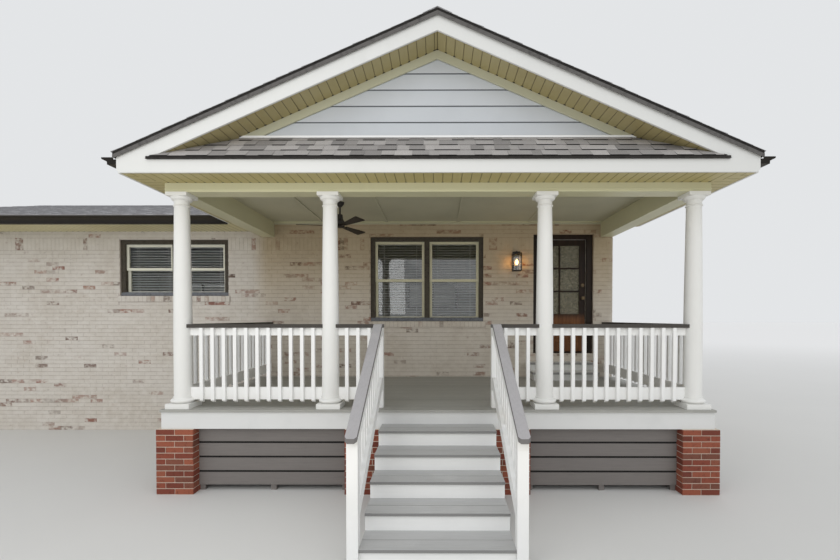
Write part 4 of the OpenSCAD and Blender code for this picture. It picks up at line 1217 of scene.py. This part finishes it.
def blinds():
    slats, rails = Shapes(), Shapes()

    def bar(shapes, wall, u, depth, z, half_depth, half_height, tilt=0.0):
        """A bar along a wall, behind its face and turned about its length."""
        points = []
        for a in u:
            for dy, dz in ((-1, -1), (1, -1), (1, 1), (-1, 1)):
                y, h = dy * half_depth, dz * half_height
                points.append(wall.at(a, z + y * math.sin(tilt) + h * math.cos(tilt),
                                      h * math.sin(tilt) - y * math.cos(tilt) - depth))
        shapes.add(points, BAR_SIDES)

    for wall, (u0, u1), (low, high) in window_units():
        u = (u0 + BLIND_SIDE, u1 - BLIND_SIDE)
        z = low + BLIND_FOOT
        while z < high - BLIND_HEAD:
            bar(slats, wall, u, BLIND_DEPTH, z, SLAT_W / 2, SLAT_T / 2,
                SLAT_OPEN if wall.out.y < -0.5 else SLAT_SHUT)
            z += SLAT_PITCH
        for z in (low + 0.02, high - 0.025):
            bar(rails, wall, u, BLIND_DEPTH, z, 0.026, 0.02)
        for share in (0.16, 0.84):
            a = u[0] + share * (u[1] - u[0])
            for depth in (BLIND_DEPTH - TAPE_OUT, BLIND_DEPTH + TAPE_OUT):
                bar(rails, wall, (a - 0.002, a + 0.002), depth, (low + high) / 2, 0.0006,
                    (high - low) / 2 - 0.02)
    piece("blind_slats", slats, "blind_slats")
    piece("blind_rails", rails, "blind_slats")


def sash_locks():
    shapes = Shapes()
    for wall, (u0, u1), (low, high) in window_units():
        middle = (low + high) / 2
        for share in (0.3, 0.7):
            a = u0 + share * (u1 - u0)
            shapes.box(wall.at(a - LOCK_HALF, middle + 0.0225, -0.1),
                       wall.at(a + LOCK_HALF, middle + 0.036, -0.128))
    piece("sash_locks", shapes, "weather_strip", bevel=0.003)


def window_sills():
    """Sloping metal sills over the bottom members of the frames."""
    shapes = Shapes()
    for wall, (u0, u1), (low, high), face in in_walls("window_frames"):
        bottom = low + 0.006
        profile = ((-0.004, bottom), (-0.004, low + 0.070), (0.020, bottom + 0.012),
                   (0.020, bottom))
        shapes.add([wall.at(u, z, face + out) for u in (u0 + 0.004, u1 - 0.004)
                    for out, z in profile], BAR_SIDES)
    piece("window_sills", shapes, "sill_metal", bevel=0.0015)


def skirt_gap_shade():
    """Near-black strips that close the gaps between the boards of the skirts: painted shade for the
    dark space under the deck.
    """
    shapes = Shapes()
    for low, high in solids("porch_skirts"):
        for k in range(3):
            top = SKIRT_TOP - k * SKIRT_PITCH
            shapes.outer_strip(low, high, (top - SKIRT_PITCH, top - SKIRT_H), (0.009, 0.011))
    piece("skirt_gap_shade", shapes, "gap_shade_paint")


# The door: mouldings round the lites and the panel, and a weather strip in the frame.

def inset_ring(x, z, inset, y):
    """The corners of a rectangle, drawn in by an inset, on the plane at y."""
    return [(x[a] + (inset if a == 0 else -inset), y, z[b] + (inset if b == 0 else -inset))
            for a, b in ((0, 0), (1, 0), (1, 1), (0, 1))]


def moulding(shapes, x, z, y, width, out):
    """A sloping frame inside a rectangle, from the face at y back to the sunk field."""
    rings = (inset_ring(x, z, 0, y) + inset_ring(x, z, 0.35 * width, y - out)
             + inset_ring(x, z, width, y + out))
    shapes.add(rings, RING_SIDES + [tuple(4 + i for i in side) for side in RING_SIDES])


def door_mouldings():
    low = box_of("door_leaf")[0]
    glass = solids("door_glass")
    shapes = Shapes()
    for a, b in glass:
        moulding(shapes, (a.x, b.x), (a.z, b.z), low.y, 0.005, 0.003)
    x = (min(a.x for a, b in glass), max(b.x for a, b in glass))
    z = (low.z + 0.16, min(a.z for a, b in glass) - 0.15)
    moulding(shapes, x, z, low.y, 0.03, 0.004)
    piece("door_mouldings", shapes, "door_wood", "front_door")
    raised = Shapes()
    raised.add(inset_ring(x, z, 0.055, low.y + 0.0115) + inset_ring(x, z, 0.088, low.y + 0.004),
               [(4, 5, 6, 7)] + RING_SIDES)
    piece("door_raised_panel", raised, "door_wood", "front_door")


def door_weather_strip():
    """Foam strips on the stops of the frame, a little clear of the leaf's face."""
    low, high = box_of("door_leaf")
    y0, y1 = low.y - 0.010, low.y - 0.002
    inset, width = 0.006, 0.009
    top = high.z - inset
    shapes = Shapes()
    for x in (low.x + inset, high.x - inset - width):
        shapes.box((x, y0, low.z + 0.004), (x + width, y1, top))
    shapes.box((low.x + inset, y0, top - width), (high.x - inset, y1, top))
    piece("weather_strips", shapes, "weather_strip", bevel=0.002)


# The lantern: four panes, a bulb in its holder and a finial.

LANTERN_HALF = 0.075
PANE_INSET = 0.012
PANE_HALF = 0.003
PANE_GAP = 0.002
TURNED_SIDES = 20
# Radii and heights, the bulb's from its foot, the holder's from the lantern's bottom plate and
# the finial's from its top.
BULB = ((0.001, 0.0), (0.013, 0.004), (0.022, 0.024), (0.027, 0.048), (0.021, 0.074),
        (0.009, 0.096), (0.001, 0.108))
BULB_FOOT = 0.085
HOLDER = ((0.03, 0.0), (0.03, 0.006), (0.013, 0.012), (0.013, BULB_FOOT + 0.002),
          (0.001, BULB_FOOT + 0.003))
FINIAL = ((0.001, 0.0), (0.011, -0.004), (0.011, -0.012), (0.02, -0.018), (0.03, -0.0155))


def turned(shapes, x, y, z, profile):
    """A profile of radii and heights turned about an upright axis."""
    n = TURNED_SIDES
    turns = [math.tau * k / n for k in range(n)]
    shapes.add([(x + r * math.cos(turn), y + r * math.sin(turn), z + h)
                for r, h in profile for turn in turns],
               [(i * n + k, i * n + (k + 1) % n, (i + 1) * n + (k + 1) % n, (i + 1) * n + k)
                for i in range(len(profile) - 1) for k in range(n)])


def lantern():
    """Makes the lantern's pieces and gives the middle of its bulb."""
    low, high = box_of("wall_lantern")
    x, y = (low.x + high.x) / 2, low.y + LANTERN_HALF
    bottom, top = low.z + 0.014, high.z - 0.06
    out = LANTERN_HALF - PANE_INSET
    panes, bulb, fittings = Shapes(), Shapes(), Shapes()
    for dx, dy in ((1, 0), (-1, 0), (0, 1), (0, -1)):
        half_x = PANE_HALF if dx else out - PANE_GAP
        half_y = PANE_HALF if dy else out - PANE_GAP
        panes.box((x + dx * out - half_x, y + dy * out - half_y, bottom),
                  (x + dx * out + half_x, y + dy * out + half_y, top))
    turned(bulb, x, y, bottom + BULB_FOOT, BULB)
    turned(fittings, x, y, bottom, HOLDER)
    turned(fittings, x, y, high.z, FINIAL)
    piece("lantern_panes", panes, "lamp_glass")
    piece("lantern_bulb", bulb, "lamp_glow", smooth=True)
    piece("lantern_fittings", fittings, "black_metal", smooth=True)
    return Vector((x, y, bottom + BULB_FOOT + 0.05))


# The stage: floor, world and lamps.

FLOOR_R = 400
FLOOR_SIDES = 96


def add_stage():
    mesh = bpy.data.meshes.new("floor")
    turns = [math.tau * k / FLOOR_SIDES for k in range(FLOOR_SIDES)]
    mesh.from_pydata([(FLOOR_R * math.cos(turn), FLOOR_R * math.sin(turn), 0) for turn in turns],
                     [], [tuple(range(FLOOR_SIDES))])
    p = Paint("floor_paint", 0.9, specular=0.1)
    away = p.node("ShaderNodeVectorMath", {0: p.place}, "Value", operation="LENGTH")
    near = p.mix(p.noise(0.6, 3), (0.69, 0.68, 0.655), (0.72, 0.71, 0.685))
    mesh.materials.append(p.done(p.mix(p.between(away, 9, 40), near, (0.88, 0.865, 0.845))))
    floor = bpy.data.objects.new("floor", mesh)
    bpy.context.scene.collection.objects.link(floor)


def add_world():
    """An even light, and a plainer white where the camera, gloss or glass sees the world."""
    world = bpy.data.worlds.new("world")
    world.use_nodes = True
    nodes, link = world.node_tree.nodes, world.node_tree.links.new
    light, seen = nodes["Background"], nodes.new("ShaderNodeBackground")
    for node, colour, strength in ((light, (0.93, 0.96, 1.0, 1), 0.88),
                                   (seen, (0.77, 0.785, 0.80, 1), 1.0)):
        node.inputs[0].default_value = colour
        node.inputs[1].default_value = strength
    rays = nodes.new("ShaderNodeLightPath").outputs
    is_seen = rays["Is Camera Ray"]
    for name in ("Is Glossy Ray", "Is Transmission Ray"):
        most = nodes.new("ShaderNodeMath")
        most.operation = "MAXIMUM"
        link(is_seen, most.inputs[0])
        link(rays[name], most.inputs[1])
        is_seen = most.outputs[0]
    mix = nodes.new("ShaderNodeMixShader")
    for source, socket in zip((is_seen, light.outputs[0], seen.outputs[0]), mix.inputs):
        link(source, socket)
    link(mix.outputs[0], nodes["World Output"].inputs[0])
    bpy.context.scene.world = world


def add_lamp(name, kind, energy, colour, place, aim, **settings):
    """A lamp that lights the scene without being seen in it."""
    data = bpy.data.lights.new(name, kind)
    data.energy = energy
    data.color = colour
    for key, value in settings.items():
        setattr(data, key, value)
    lamp = bpy.data.objects.new(name, data)
    lamp.location = PORCH + Vector(place)
    direction = Vector(aim) - Vector(place)
    lamp.rotation_euler = direction.to_track_quat("-Z", "Y").to_euler()
    lamp.visible_camera = False
    lamp.visible_glossy = False
    bpy.context.scene.collection.objects.link(lamp)


def add_lights(bulb_at):
    add_lamp("key", "SUN", 0.35, (1.0, 0.98, 0.95), (3, -9, 7), (0, 2, 0),
             angle=math.radians(60))
    add_lamp("front_fill", "AREA", 58, (1.0, 0.99, 0.97), (-2.6, -4.6, 2.4), (-0.5, 2, 3.0),
             shape="RECTANGLE", size=3, size_y=2.5)
    add_lamp("ground_bounce", "AREA", 9, (1.0, 0.88, 0.68), (0, -2.6, -0.4), (0, 0.6, 3.0),
             shape="RECTANGLE", size=8, size_y=1.3, spread=math.radians(100))
    for side in (-1, 1):
        add_lamp("lantern_light", "POINT", 0.5, (1.0, 0.52, 0.16),
                 bulb_at + Vector((side * 0.115, 0, 0)), (0, 0, 0), shadow_soft_size=0.03)


add_camera()
dress_nodes()
brick_walls()
pier_bricks()
shingles()
pent_shingles()
drip_edges()
pent_drip()
gutter_lips()
ceiling_board()
soffits()
rail_caps()
stair_caps()
blinds()
skirt_gap_shade()
sash_locks()
window_sills()
door_mouldings()
door_weather_strip()
bulb_place = lantern()
add_stage()
add_world()
add_lights(bulb_place)
bpy.context.scene.view_settings.view_transform = "Standard"
